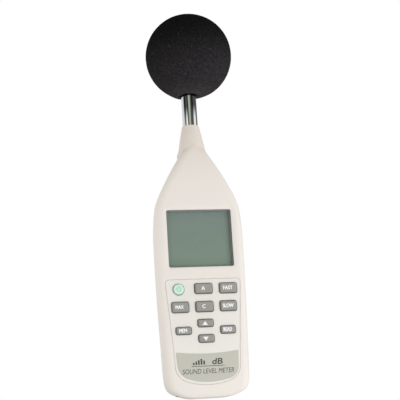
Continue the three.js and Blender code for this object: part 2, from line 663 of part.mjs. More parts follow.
// ---------- case screws, with a cross slot in each head ----------
const caseScrew = ([x, z]) =>
  cylinderY(2.4, [x, z], [5.7, 7.4], 12)
    .add(cylinderY(1.0, [x, z], [-6.6, 5.8], 8))
    .subtract(box(about(x, 1.3), [6.5, 8], about(z, 0.3)))
    .subtract(box(about(x, 0.3), [6.5, 8], about(z, 1.3)));
SCREWS.forEach((at, i) => add(`case_screw_${i + 1}`, STEEL, caseScrew(at)));

export default meter;
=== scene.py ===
"""A handheld sound level meter with a foam ball over its microphone, standing upright.

The face looks along -Y, the back along +Y, and +X is the right-hand side seen from the
front. The case stands on Z = 0 and tapers into a neck; stem, microphone and ball are above.
Lengths are in millimetres and become metres where a mesh or a node is made.
"""

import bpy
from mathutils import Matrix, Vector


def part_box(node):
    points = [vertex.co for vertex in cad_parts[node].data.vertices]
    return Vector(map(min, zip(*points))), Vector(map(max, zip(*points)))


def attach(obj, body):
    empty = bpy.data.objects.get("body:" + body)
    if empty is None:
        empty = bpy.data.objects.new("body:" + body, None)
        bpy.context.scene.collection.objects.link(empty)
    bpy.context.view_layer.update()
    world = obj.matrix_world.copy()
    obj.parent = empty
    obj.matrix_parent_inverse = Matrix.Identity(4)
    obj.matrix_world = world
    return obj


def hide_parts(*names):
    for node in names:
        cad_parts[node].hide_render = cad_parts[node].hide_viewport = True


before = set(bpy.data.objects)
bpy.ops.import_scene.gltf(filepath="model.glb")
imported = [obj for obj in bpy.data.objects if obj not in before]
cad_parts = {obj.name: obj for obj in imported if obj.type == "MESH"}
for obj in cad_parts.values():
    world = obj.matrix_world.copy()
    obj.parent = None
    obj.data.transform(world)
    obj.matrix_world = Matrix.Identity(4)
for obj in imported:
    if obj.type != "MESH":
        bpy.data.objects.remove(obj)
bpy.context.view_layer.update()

import math

import bmesh
import bpy
import numpy as np
from mathutils import Matrix, Vector, noise

MM = 0.001
SCENE = bpy.context.scene


# ---------------------------------------------------------------- driving dimensions
def node_box(name):
    low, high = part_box(name)
    return np.array(low) / MM, np.array(high) / MM


fascia_low, fascia_high = node_box("keypad_fascia")
rear_high = node_box("rear_case")[1]
stem_low, stem_high = node_box("stem_tube")

FACE_Y = float(fascia_low[1])
FASCIA_TOP = float(fascia_high[2])
BACK_Y = float(rear_high[1]) if rear_high[1] < 12.6 else 12.3
NECK_TOP = float(rear_high[2])
PART_FRONT_Y = float(node_box("front_case")[1][1])  # the case halves meet at these two planes
PART_REAR_Y = 1.15
WALL = 2.2
BALL_R = 35.0
BALL_Z = float(node_box("windscreen")[1][2]) - BALL_R
STEM_R = float(stem_high[0])
STEM_Z0, STEM_Z1 = float(stem_low[2]), float(stem_high[2])
LENS_FRONT = float(node_box("lcd_window")[0][1])
LCD_FRONT = float(node_box("lcd_glass")[0][1])
LCD_HALF, LCD_Z0, LCD_Z1 = 25.5, 98.9, 143.8  # the display opening
KEY_TOP = float(node_box("key_max")[0][1])
POWER_TOP = float(node_box("key_power")[0][1])
LABEL_Y = float(node_box("name_label")[0][1])

SCREWS = [(-27.2, 57.5), (27.2, 57.5), (-20.5, 160), (20.5, 160)]
TRIPOD_Z = 100
RATING_Z = 130
SIDE_Y = 4.6  # axis of the sockets and the trimmer, in the +X side
SIGNAL_Z, SUPPLY_Z, TRIMMER_Z = 132, 118, 106
BOARD_BACK_Y = -2.6
BAY_HALF, BAY_FLOOR, BAY_Z0, BAY_Z1 = 22.1, -0.9, 8.4, 59.4  # battery bay
CELL_PITCH, CELL_Y, CELL_R, CELL_LENGTH = 10.9, 4.75, 5.25, 43.5
DOOR_HALF, DOOR_RAIL, DOOR_TOP, DOOR_IN, DOOR_GAP = 22.6, 1.0, 61.9, 10.35, 0.3

# name: x, z, width, height; width 0 marks a round key whose radius is the height
KEYS = {
    "key_power": (-19.3, 81.8, 0, 4.3),
    "key_weighting_a": (0, 82.0, 13.8, 8.1),
    "key_fast": (19.2, 81.9, 13.8, 8.2),
    "key_max": (-18.7, 68.2, 13.2, 8.3),
    "key_weighting_c": (0, 68.2, 13.8, 8.2),
    "key_slow": (18.5, 68.2, 13.0, 8.1),
    "key_up": (0, 55.7, 12.1, 6.0),
    "key_memory": (-17.1, 50.4, 12.0, 5.9),
    "key_read": (17.1, 50.2, 11.8, 6.1),
    "key_down": (0, 44.1, 12.1, 6.1),
}
# name: text, width, height, x offset from the key centre
LEGENDS = {
    "key_weighting_a": ("A", 2.5, 2.9, -0.55),
    "key_fast": ("FAST", 7.2, 2.8, -0.55),
    "key_max": ("MAX", 6.1, 2.5, -0.85),
    "key_weighting_c": ("C", 2.3, 2.8, -0.75),
    "key_slow": ("SLOW", 8.3, 2.8, -0.45),
    "key_memory": ("MEM", 5.8, 2.7, -0.8),
    "key_read": ("READ", 6.5, 2.9, -0.6),
}


# ---------------------------------------------------------------- curves through tables
def smooth_curve(table):
    """Monotone cubic through (x, y) stations."""
    x = np.array([p[0] for p in table], float)
    y = np.array([p[1] for p in table], float)
    step = np.diff(x)
    rise = np.diff(y) / step
    slope = np.zeros_like(y)
    for i in range(1, len(x) - 1):
        if rise[i - 1] * rise[i] > 0:
            w1, w2 = 2 * step[i] + step[i - 1], step[i] + 2 * step[i - 1]
            slope[i] = (w1 + w2) / (w1 / rise[i - 1] + w2 / rise[i])
    slope[0], slope[-1] = rise[0], rise[-1]

    def value(at):
        at = min(max(at, x[0]), x[-1])
        i = min(int(np.searchsorted(x, at, side="right")) - 1, len(x) - 2)
        i = max(i, 0)
        t = (at - x[i]) / step[i]
        return float(
            (2 * t**3 - 3 * t**2 + 1) * y[i]
            + (t**3 - 2 * t**2 + t) * step[i] * slope[i]
            + (-2 * t**3 + 3 * t**2) * y[i + 1]
            + (t**3 - t**2) * step[i] * slope[i + 1]
        )

    return value


def linear_curve(table):
    x, y = [p[0] for p in table], [p[1] for p in table]
    return lambda at: float(np.interp(at, x, y))


# ---------------------------------------------------------------- solids
def linked(mesh, name="part"):
    obj = bpy.data.objects.new(name, mesh)
    SCENE.collection.objects.link(obj)
    return obj


def make(points, faces):
    mesh = bpy.data.meshes.new("part")
    mesh.from_pydata([tuple(float(c) * MM for c in p) for p in points], [], faces)
    mesh.update()
    obj = linked(mesh)
    bm = bmesh.new()
    bm.from_mesh(mesh)
    bmesh.ops.remove_doubles(bm, verts=bm.verts, dist=1e-8)
    bmesh.ops.recalc_face_normals(bm, faces=bm.faces)
    bm.to_mesh(mesh)
    bm.free()
    return obj


def loft(loops):
    """A capped solid through loops of equal point count."""
    loops = [np.asarray(loop, float) for loop in loops]
    rows, count = len(loops), len(loops[0])
    faces = []
    for i in range(rows - 1):
        for j in range(count):
            k = (j + 1) % count
            row, above = i * count, (i + 1) * count
            faces.append((row + j, row + k, above + k, above + j))
    faces.append(tuple(range(count - 1, -1, -1)))
    faces.append(tuple((rows - 1) * count + j for j in range(count)))
    return make(np.concatenate(loops), faces)


def stack(layers):
    """A solid through (outline in x and z, y) layers."""
    return loft([[(x, y, z) for x, z in outline] for outline, y in layers])


def tiers(shape, base, steps, end=None):
    """Layers shape(size) at base + dy for each (size, dy); the last size runs on to y = end."""
    layers = [(shape(size), base + dy) for size, dy in steps]
    if end is not None:
        layers.append((shape(steps[-1][0]), end))
    return layers


def inset_tiers(outline, base, steps, end=None):
    """The same, each size being how far the outline is drawn in."""
    return tiers(lambda amount: inset(outline, amount), base, steps, end)


def prism(outline, y0, y1):
    return stack([(outline, y0), (outline, y1)])


def block(x0, x1, y0, y1, z0, z1):
    return loft([[(x0, y0, z), (x1, y0, z), (x1, y1, z), (x0, y1, z)] for z in (z0, z1)])


def mid_block(half, y0, y1, z0, z1):
    return block(-half, half, y0, y1, z0, z1)


def lathe(profile, segments=96, axis="Z", at=(0, 0, 0)):
    """Profile is (radius, height) from axis to axis, or closed on itself."""
    on_axis = profile[0][0] < 1e-6 and profile[-1][0] < 1e-6
    points, faces, rows = [], [], []
    for radius, height in profile if on_axis else profile[:-1]:
        if radius < 1e-6:
            rows.append([len(points)])
            points.append((0, 0, height))
        else:
            rows.append(list(range(len(points), len(points) + segments)))
            for j in range(segments):
                angle = 2 * math.pi * j / segments
                points.append((radius * math.cos(angle), radius * math.sin(angle), height))
    pairs = list(zip(rows, rows[1:])) + ([] if on_axis else [(rows[-1], rows[0])])
    for low, high in pairs:
        for j in range(segments):
            k = (j + 1) % segments
            if len(low) == 1 and len(high) == 1:
                continue
            if len(low) == 1:
                faces.append((low[0], high[k], high[j]))
            elif len(high) == 1:
                faces.append((low[j], low[k], high[0]))
            else:
                faces.append((low[j], low[k], high[k], high[j]))
    turned = []
    for x, y, z in points:
        if axis == "Y":
            x, y, z = x, z, -y
        elif axis == "X":
            x, y, z = z, x, y
        turned.append((x + at[0], y + at[1], z + at[2]))
    return make(turned, faces)


def side_lathe(profile, segments, z):
    """Turned about the socket axis at height z; profile heights are x."""
    return lathe(profile, segments, "X", (0, SIDE_Y, z))


def rod(radius, x, y, z, length, segments):
    """A cylinder along +Y."""
    profile = [(0, 0), (radius, 0), (radius, length), (0, length)]
    return lathe(profile, segments, "Y", (x, y, z))


def drop(obj):
    mesh = obj.data
    bpy.data.objects.remove(obj)
    if mesh.users == 0:
        bpy.data.meshes.remove(mesh)


def evaluated_mesh(obj):
    depsgraph = bpy.context.evaluated_depsgraph_get()
    depsgraph.update()
    return bpy.data.meshes.new_from_object(obj.evaluated_get(depsgraph))


def boolean(obj, others, operation):
    for other in others:
        modifier = obj.modifiers.new("b", "BOOLEAN")
        modifier.object, modifier.operation, modifier.solver = other, operation, "MANIFOLD"
        mesh = evaluated_mesh(obj)
        obj.modifiers.clear()
        old = obj.data
        obj.data = mesh
        bpy.data.meshes.remove(old)
        if not len(mesh.polygons):
            raise RuntimeError("a boolean left nothing of " + obj.name)
        drop(other)
    return obj


def cut(obj, *others):
    return boolean(obj, others, "DIFFERENCE")


def join(obj, *others):
    return boolean(obj, others, "UNION")


def meet(obj, *others):
    return boolean(obj, others, "INTERSECT")


# ---------------------------------------------------------------- finishing
def paint(obj, material):
    obj.data.materials.clear()
    obj.data.materials.append(MATERIALS[material])
    return obj


def shade(obj, angle, weighted=True):
    """Smooth faces with sharp edges above an angle in degrees."""
    bm = bmesh.new()
    bm.from_mesh(obj.data)
    bmesh.ops.remove_doubles(bm, verts=bm.verts, dist=2e-6)
    bmesh.ops.dissolve_degenerate(bm, edges=bm.edges, dist=1e-6)
    limit = math.radians(angle)
    for edge in bm.edges:
        edge.smooth = not (len(edge.link_faces) == 2 and edge.calc_face_angle(0) > limit)
    for face in bm.faces:
        face.smooth = True
    bm.to_mesh(obj.data)
    bm.free()
    if weighted:
        modifier = obj.modifiers.new("normals", "WEIGHTED_NORMAL")
        modifier.keep_sharp, modifier.weight, modifier.mode = True, 60, "FACE_AREA"
    return obj


def finish(obj, name, material, angle, weighted=True):
    obj.name = obj.data.name = name
    return shade(paint(obj, material), angle, weighted)


def joined(name, objects):
    """Several meshes as one object, each keeping its own material."""
    bm = bmesh.new()
    materials = []
    for obj in objects:
        base = len(bm.faces)
        bm.from_mesh(obj.data)
        bm.faces.ensure_lookup_table()
        material = obj.data.materials[0]
        if material not in materials:
            materials.append(material)
        for face in bm.faces[base:]:
            face.material_index = materials.index(material)
    mesh = bpy.data.meshes.new(name)
    bm.to_mesh(mesh)
    bm.free()
    for material in materials:
        mesh.materials.append(material)
    whole = linked(mesh, name)
    for obj in objects:
        drop(obj)
    return whole


# ---------------------------------------------------------------- outlines in x and z
def round_rect(cx, cz, width, height, radius, steps=8, lean=0.0):
    points = []
    for side, end, start in ((1, 1, 0), (-1, 1, 90), (-1, -1, 180), (1, -1, 270)):
        for i in range(steps + 1):
            angle = math.radians(start + 90 * i / steps)
            z = end * (height / 2 - radius) + radius * math.sin(angle)
            x = side * (width / 2 - radius) + radius * math.cos(angle)
            points.append((cx + x + math.copysign(lean * (z / height), x), cz + z))
    return points


def circle(cx, cz, radius, count=48):
    turns = [2 * math.pi * i / count for i in range(count)]
    return [(cx + radius * math.cos(a), cz + radius * math.sin(a)) for a in turns]


def inset(outline, amount):
    count, moved = len(outline), []
    for i, p in enumerate(outline):
        a, b = outline[i - 1], outline[(i + 1) % count]
        n1 = (-(p[1] - a[1]), p[0] - a[0])
        n2 = (-(b[1] - p[1]), b[0] - p[0])
        l1, l2 = math.hypot(*n1) or 1, math.hypot(*n2) or 1
        mean = (n1[0] / l1 + n2[0] / l2, n1[1] / l1 + n2[1] / l2)
        length = math.hypot(*mean) or 1
        reach = amount / max(0.5, length / 2)
        moved.append((p[0] + mean[0] / length * reach, p[1] + mean[1] / length * reach))
    return moved


def smooth_outline(corners, corner_reach=0.8, step=0.55, straight_step=2.4, gentle=0.75):
    """Bends gentler than an angle in radians become curves, real corners a small round."""
    corners = [np.array(p, float) for p in corners]
    bent = []
    for i, p in enumerate(corners):
        a, b = corners[i - 1], corners[(i + 1) % len(corners)]
        u, v = (a - p) / np.linalg.norm(a - p), (b - p) / np.linalg.norm(b - p)
        turn = math.pi - math.acos(max(-1, min(1, float(u @ v))))
        reach = min(np.linalg.norm(a - p), np.linalg.norm(b - p)) * 0.46
        if turn >= gentle:
            reach = min(reach, corner_reach)
        start, end = p + u * reach, p + v * reach
        count = max(3, int(2 * reach / step))
        for j in range(count + 1):
            t = j / count
            bent.append(tuple((1 - t) ** 2 * start + 2 * t * (1 - t) * p + t * t * end))
    # long straight stretches are filled in
    full = []
    for i, p in enumerate(bent):
        q = bent[(i + 1) % len(bent)]
        count = max(1, int(math.hypot(q[0] - p[0], q[1] - p[1]) / straight_step))
        for j in range(count):
            t = j / count
            full.append((p[0] + (q[0] - p[0]) * t, p[1] + (q[1] - p[1]) * t))
    return full


# ---------------------------------------------------------------- print
def lettering(body, cx, cz, width, height, y, lift, material, bold=0.0, slant=0.0, face="front"):
    """A line of print in a plane facing -Y at y (front), or facing +X at x = y (right).

    On the right face cx is a place along Y.
    """
    curve = bpy.data.curves.new("text", "FONT")
    curve.body, curve.size = body, 1.0
    curve.offset, curve.shear = bold, slant
    curve.extrude, curve.resolution_u = 0.001, 4
    obj = linked(curve, "text")
    mesh = evaluated_mesh(obj)
    bpy.data.objects.remove(obj)
    bpy.data.curves.remove(curve)
    co = np.array([v.co[:] for v in mesh.vertices])
    low, high = co.min(0), co.max(0)
    co[:, 0] = (co[:, 0] - (low[0] + high[0]) / 2) * width / (high[0] - low[0])
    co[:, 1] = (co[:, 1] - (low[1] + high[1]) / 2) * height / (high[1] - low[1])
    co[:, 2] = np.where(co[:, 2] > 0, lift, -lift)
    if face == "front":
        placed = np.stack([co[:, 0] + cx, y - co[:, 2], co[:, 1] + cz], 1)
    else:
        placed = np.stack([y + co[:, 2], co[:, 0] + cx, co[:, 1] + cz], 1)
    for vertex, place in zip(mesh.vertices, placed * MM):
        vertex.co = place
    mesh.update()
    return paint(linked(mesh), material)


def stamp(outline, y, proud, depth, material):
    """A printed shape standing proud of the plane y and sunk a depth behind it."""
    return paint(prism(outline, y - proud, y + depth), material)


# ---------------------------------------------------------------- shader nodes
class NodeTree:
    def __init__(self, owner):
        owner.use_nodes = True
        self.tree = owner.node_tree
        self.tree.nodes.clear()

    def put(self, socket, value):
        if isinstance(value, bpy.types.NodeSocket):
            self.tree.links.new(value, socket)
        elif isinstance(value, tuple) and len(value) == 3 and socket.type == "RGBA":
            socket.default_value = (*value, 1)
        else:
            socket.default_value = value

    def add(self, kind, inputs=None, **settings):
        """A node; inputs maps sockets to values or to sockets to link from."""
        node = self.tree.nodes.new("ShaderNode" + kind)
        for name, value in settings.items():
            setattr(node, name, value)
        for socket, value in (inputs or {}).items():
            self.put(node.inputs[socket], value)
        return node

    def map_range(self, value, start=0.0, end=1.0, low=0.0, high=1.0, smooth=False):
        inputs = {0: value, 1: start, 2: end, 3: low, 4: high}
        kind = "SMOOTHSTEP" if smooth else "LINEAR"
        return self.add("MapRange", inputs, interpolation_type=kind).outputs[0]

    def ramp(self, factor, stops):
        """Stops are (position, grey or colour)."""
        node = self.add("ValToRGB", {0: factor})
        node.color_ramp.interpolation = "LINEAR"
        elements = node.color_ramp.elements
        while len(elements) < len(stops):
            elements.new(0.5)
        for element, (position, c) in zip(elements, stops):
            element.position = position
            element.color = (*c, 1) if isinstance(c, tuple) else (c, c, c, 1)
        return node.outputs[0]

    def mix_shader(self, factor, first, second):
        return self.add("MixShader", {0: factor, 1: first, 2: second}).outputs[0]


class Material(NodeTree):
    """Textures lie in object space; sizes and depths are in millimetres."""

    def __init__(self, name):
        self.material = bpy.data.materials.new(name)
        super().__init__(self.material)
        self.coords = self.add("TexCoord").outputs["Object"]
        self.xyz = None

    def finish(self, shader):
        self.add("OutputMaterial", {0: shader})
        return self.material

    def principled(self, **values):
        inputs = {name.replace("_", " "): value for name, value in values.items()}
        return self.add("BsdfPrincipled", inputs).outputs[0]

    def axis(self, name):
        if self.xyz is None:
            self.xyz = self.add("SeparateXYZ", {0: self.coords}).outputs
        return self.xyz[name]

    def noise(self, size, detail=3.0, rough=0.55, vector=None):
        return self.add("TexNoise", {
            "Vector": vector or self.coords, "Scale": 1.0 / (size * MM),
            "Detail": detail, "Roughness": rough,
        }).outputs["Fac"]

    def voronoi(self, size, feature="F1", output="Distance"):
        inputs = {"Vector": self.coords, "Scale": 1.0 / (size * MM)}
        return self.add("TexVoronoi", inputs, feature=feature).outputs[output]

    def mix(self, factor, first, second, mode="MIX"):
        inputs = {0: factor, 6: first, 7: second}
        return self.add("Mix", inputs, data_type="RGBA", blend_type=mode).outputs[2]

    def math(self, operation, a, b=0.0, c=0.0):
        return self.add("Math", {0: a, 1: b, 2: c}, operation=operation).outputs[0]

    def span(self, factor, low, high):
        return self.map_range(factor, low=low, high=high)

    def bump(self, height, strength, depth, normal=None):
        inputs = {"Strength": strength, "Distance": depth * MM, "Height": height}
        if normal is not None:
            inputs["Normal"] = normal
        return self.add("Bump", inputs).outputs[0]

    def fade(self, value, start, end):
        """0 at start, 1 at end, eased between."""
        return self.map_range(value, start * MM, end * MM, smooth=True)

    def soft_edge(self, radius):
        return self.add("Bevel", {"Radius": radius * MM}, samples=4).outputs[0]

    def occlusion(self, distance):
        node = self.add("AmbientOcclusion", {"Distance": distance * MM}, samples=6)
        return node.outputs["AO"]


def srgb(*values):
    shares = [v / 255 for v in values]
    return tuple(s / 12.92 if s <= 0.04045 else ((s + 0.055) / 1.055) ** 2.4 for s in shares)


def scaled(colour, factor):
    return tuple(min(1.0, v * factor) for v in colour)


# ---------------------------------------------------------------- materials
def moulded(name, colour, rough=0.48, grain_size=0.32, grain_depth=0.012, edge=0.18, corner_dirt_and_shade=0.10,
            spread=0.03, subsurface=0.0, specular=0.45, warm_above=None, painted_flank_shade=None):
    """Moulded plastic with fine grain, slow colour drift, and crevice dirt with painted shade in
    the corners.

    warm_above is (start z, full z) of a warmer tint; the flank shade is (start y, full y, colour
    factor), a painted shade that darkens the flanks.
    """
    mat = Material(name)
    drift = mat.span(mat.noise(26, detail=2.0), 0.0, 1.0)
    blotches = mat.ramp(mat.noise(3.1), [(0.62, 0.0), (0.80, 0.10)])
    base = mat.mix(drift, scaled(colour, 1 - spread), scaled(colour, 1 + spread))
    base = mat.mix(blotches, base, scaled(colour, 0.90))
    if warm_above:
        warm = tuple(a * b for a, b in zip(colour, (0.965, 0.935, 0.895)))
        base = mat.mix(mat.fade(mat.axis("Z"), *warm_above), base, warm)
    if corner_dirt_and_shade > 0:
        # crevice dirt and painted shade: the colour darkens where ambient occlusion finds corners
        # and recesses
        corners = mat.ramp(mat.occlusion(1.8), [(0.35, 1.0), (0.95, 0.0)])
        base = mat.mix(mat.math("MULTIPLY", corners, corner_dirt_and_shade * 2.2), base, scaled(colour, 0.55))
    if painted_flank_shade:
        # painted shade: the colour darkens down the flanks, with depth behind the top
        start, full, factor = painted_flank_shade
        base = mat.mix(mat.fade(mat.axis("Y"), start, full), base, scaled(colour, factor))
    grain = mat.noise(grain_size, detail=4.0, rough=0.62)
    pits = mat.voronoi(grain_size * 1.7)
    height = mat.math("ADD", grain, mat.math("MULTIPLY", pits, 0.45))
    rounded = mat.soft_edge(edge) if edge else None
    rub = mat.math("MULTIPLY", mat.noise(9, detail=4.0, rough=0.7), 0.7)
    polish = mat.math("ADD", rub, mat.math("MULTIPLY", grain, 0.3))
    values = dict(
        Base_Color=base, Roughness=mat.span(polish, rough - 0.07, rough + 0.09), IOR=1.5,
        Normal=mat.bump(height, strength=0.55, depth=grain_depth, normal=rounded),
        Specular_IOR_Level=specular,
    )
    if subsurface:
        values.update(Subsurface_Weight=subsurface, Subsurface_Radius=(1.0, 0.9, 0.75),
                      Subsurface_Scale=0.0012)
    return mat.finish(mat.principled(**values))


def painted_ball_reflection(mat):
    """Painted reflection of the dark foam ball: two soft dark streaks on the tube under it,
    thinning out downwards.
    """
    # across runs sideways as seen by the camera
    across = mat.math("SUBTRACT", mat.math("MULTIPLY", mat.axis("X"), 0.979),
                      mat.math("MULTIPLY", mat.axis("Y"), 0.2036))
    offset = mat.math("ABSOLUTE", mat.math("SUBTRACT", across, 0.45 * MM))
    height = mat.math("SUBTRACT", mat.axis("Z"), mat.math("MULTIPLY", across, 0.3))
    reflection_mask = 1.0
    for value, start, end in ((height, 217.5, 231.5), (offset, 0.9, 1.9), (offset, 5.1, 4.3)):
        reflection_mask = mat.math("MULTIPLY", mat.fade(value, start, end), reflection_mask)
    return reflection_mask


def metal(name, colour, rough, scratch_size=0.5, scratch=0.25, stretch=(1, 1, 0.05),
          depth=0.004, spots=0.0, ball_reflection_painted=False):
    """Metal with scratches drawn out along the small axes of stretch, and dull spots."""
    mat = Material(name)
    stretched = mat.add("Mapping", {"Scale": stretch, 0: mat.coords}).outputs[0]
    fine = mat.noise(scratch_size, detail=4.0, rough=0.6, vector=stretched)
    haze = mat.noise(7.0, rough=0.6)
    spotted = mat.ramp(haze, [(0.4, 0.0), (0.75, spots)])
    base = mat.mix(spotted, colour, scaled(colour, 0.7))
    if ball_reflection_painted:
        # painted reflection of the dark ball above, laid on the chrome as dark streaks
        cover = mat.math("MULTIPLY", painted_ball_reflection(mat), mat.span(haze, 0.96, 1.0))
        base = mat.mix(cover, base, (0.055, 0.055, 0.055))
    dull = mat.math("MULTIPLY", mat.ramp(haze, [(0.5, 0.0), (0.9, 1.0)]), rough * 0.8)
    return mat.finish(mat.principled(
        Base_Color=base, Metallic=1.0,
        Roughness=mat.math("ADD", mat.span(fine, rough * 0.6, rough * 1.5), dull),
        Normal=mat.bump(fine, strength=scratch, depth=depth, normal=mat.soft_edge(0.08)),
    ))


def printed(name, colour, rough=0.5, wear=0.12):
    """Screen-printed ink with slightly uneven cover."""
    mat = Material(name)
    cover = mat.noise(0.45, detail=4.0, rough=0.7)
    worn = scaled(colour, 0.72) if sum(colour) > 1.2 else tuple(v + 0.10 for v in colour)
    return mat.finish(mat.principled(
        Base_Color=mat.mix(mat.ramp(cover, [(0.5, 0.0), (0.85, wear)]), colour, worn),
        Roughness=mat.span(mat.noise(1.2, detail=2.0), rough - 0.1, rough + 0.1),
        Normal=mat.bump(cover, strength=0.3, depth=0.004),
    ))


def circuit_board():
    mat = Material("circuit_board")
    weave = mat.noise(0.6)
    traces = mat.ramp(mat.voronoi(2.2, "DISTANCE_TO_EDGE"), [(0.02, 1.0), (0.06, 0.0)])
    green = mat.mix(weave, (0.015, 0.085, 0.030), (0.025, 0.120, 0.045))
    return mat.finish(mat.principled(
        Base_Color=mat.mix(mat.math("MULTIPLY", traces, 0.5), green, (0.05, 0.22, 0.08)),
        Roughness=mat.span(weave, 0.25, 0.4),
        Normal=mat.bump(traces, strength=0.4, depth=0.03),
    ))


def windscreen_foam():
    """Open-cell foam: dark pores, paler cell walls and specks, with painted light that makes it
    lighter towards the bottom and the right.
    """
    mat = Material("windscreen_foam")
    walls = mat.ramp(mat.voronoi(0.62, "DISTANCE_TO_EDGE"), [(0.0, 1.0), (0.16, 0.0)])
    fine = mat.noise(0.28, detail=4.0, rough=0.7)
    base = mat.mix(walls, (0.0086, 0.0084, 0.0086), (0.0277, 0.0266, 0.0277))
    mottle = mat.ramp(mat.noise(2.1, rough=0.6), [(0.30, 0.68), (0.70, 1.30)])
    # painted light: the colour is raised towards the bottom, most at the mouth of the bore, and
    # towards the right
    low = mat.fade(mat.axis("Z"), 306, 246)
    painted_light_below = mat.ramp(low, [
        (0.0, (0.17, 0.17, 0.17)), (0.35, (0.61, 0.605, 0.605)),
        (0.65, (1.18, 1.15, 1.16)), (1.0, (1.80, 1.69, 1.72)),
    ])
    painted_light_at_mouth = mat.ramp(mat.fade(mat.axis("Z"), 246.5, 240.5),
                        [(0.0, (1.0, 1.0, 1.0)), (1.0, (1.60, 1.56, 1.58))])
    painted_light_right = mat.map_range(mat.axis("X"), -35 * MM, 35 * MM, low=0.92, high=1.36)
    for tint in (mottle, painted_light_below, painted_light_at_mouth, painted_light_right):
        base = mat.mix(1.0, base, tint, "MULTIPLY")
    # pale specks: small dots in a few cells, in worn patches, mostly low down
    chosen = mat.ramp(mat.voronoi(1.55, output="Color"), [(0.74, 0.0), (0.93, 1.0)])
    dot = mat.ramp(mat.voronoi(1.55), [(0.16, 1.0), (0.34, 0.0)])
    worn = mat.ramp(mat.noise(16, detail=2.0), [(0.42, 0.08), (0.60, 1.0)])
    place = mat.math("MULTIPLY", worn, mat.span(low, 0.05, 1.0))
    speck = mat.math("MULTIPLY", mat.math("MULTIPLY", chosen, dot), place)
    height = mat.math("ADD", mat.math("MULTIPLY", walls, 0.8), mat.math("MULTIPLY", fine, 0.5))
    return mat.finish(mat.principled(
        Base_Color=mat.mix(speck, base, (0.20, 0.195, 0.20)), Roughness=0.95,
        Specular_IOR_Level=0.05, Sheen_Weight=0.02, Sheen_Roughness=0.6,
        Sheen_Tint=(0.55, 0.54, 0.56), Normal=mat.bump(height, strength=0.8, depth=0.22),
    ))


def window_acrylic():
    """Clear acrylic: more mirror-like at grazing angles, with faint dust."""
    mat = Material("window_acrylic")
    clear = mat.add("BsdfTransparent", {0: (0.985, 0.99, 0.987)}).outputs[0]
    waves = mat.bump(mat.noise(6, detail=2.0), strength=0.1, depth=0.01)
    gloss = mat.add("BsdfGlossy", {"Roughness": 0.03, "Normal": waves}).outputs[0]
    facing = mat.add("LayerWeight", {"Blend": 0.5}).outputs["Facing"]
    mirror = mat.math("MULTIPLY_ADD", mat.math("POWER", facing, 5.0), 0.9, 0.04)
    dust = mat.ramp(mat.noise(0.5), [(0.70, 0.0), (0.80, 0.05)])
    return mat.finish(mat.mix_shader(mat.math("ADD", mirror, dust), clear, gloss))


# the bluer top colour is a painted reflection
DISPLAY_LOW, DISPLAY_MID, DISPLAY_TOP = (
    (0.279, 0.374, 0.293), (0.281, 0.355, 0.293), (0.280, 0.346, 0.312))


def lcd_glass():
    """Reflective display, switched off: grey green, a little greener towards the bottom, and bluer
    towards the top as a painted reflection.
    """
    mat = Material("lcd_glass")
    height = mat.map_range(mat.axis("Z"), LCD_Z0 * MM, LCD_Z1 * MM)
    cloud = mat.math("SUBTRACT", mat.noise(17, detail=2.0, rough=0.5), 0.5)
    height = mat.math("ADD", height, mat.math("MULTIPLY", cloud, 0.5))
    return mat.finish(mat.principled(
        Base_Color=mat.ramp(height, [(0.0, DISPLAY_LOW), (0.45, DISPLAY_MID), (1.0, DISPLAY_TOP)]),
        Roughness=mat.span(mat.noise(0.3, detail=2.0), 0.22, 0.30), IOR=1.5,
        Specular_IOR_Level=0.5, Coat_Weight=0.35, Coat_Roughness=0.08,
        Normal=mat.bump(mat.noise(0.12, detail=2.0), strength=0.15, depth=0.003),
    ))


def cell_jacket():
    """Blue printed steel of the cells, with scattered scratches."""
    mat = Material("cell_jacket")
    haze = mat.noise(3.0)
    scratches = mat.ramp(mat.noise(0.4, detail=5.0, rough=0.8), [(0.66, 0.0), (0.74, 0.6)])
    blue = mat.mix(haze, (0.02, 0.07, 0.20), (0.03, 0.10, 0.27))
    return mat.finish(mat.principled(
        Base_Color=mat.mix(scratches, blue, (0.25, 0.28, 0.35)),
        Roughness=mat.span(haze, 0.2, 0.35), Metallic=0.35,
        Coat_Weight=0.5, Coat_Roughness=0.12,
    ))


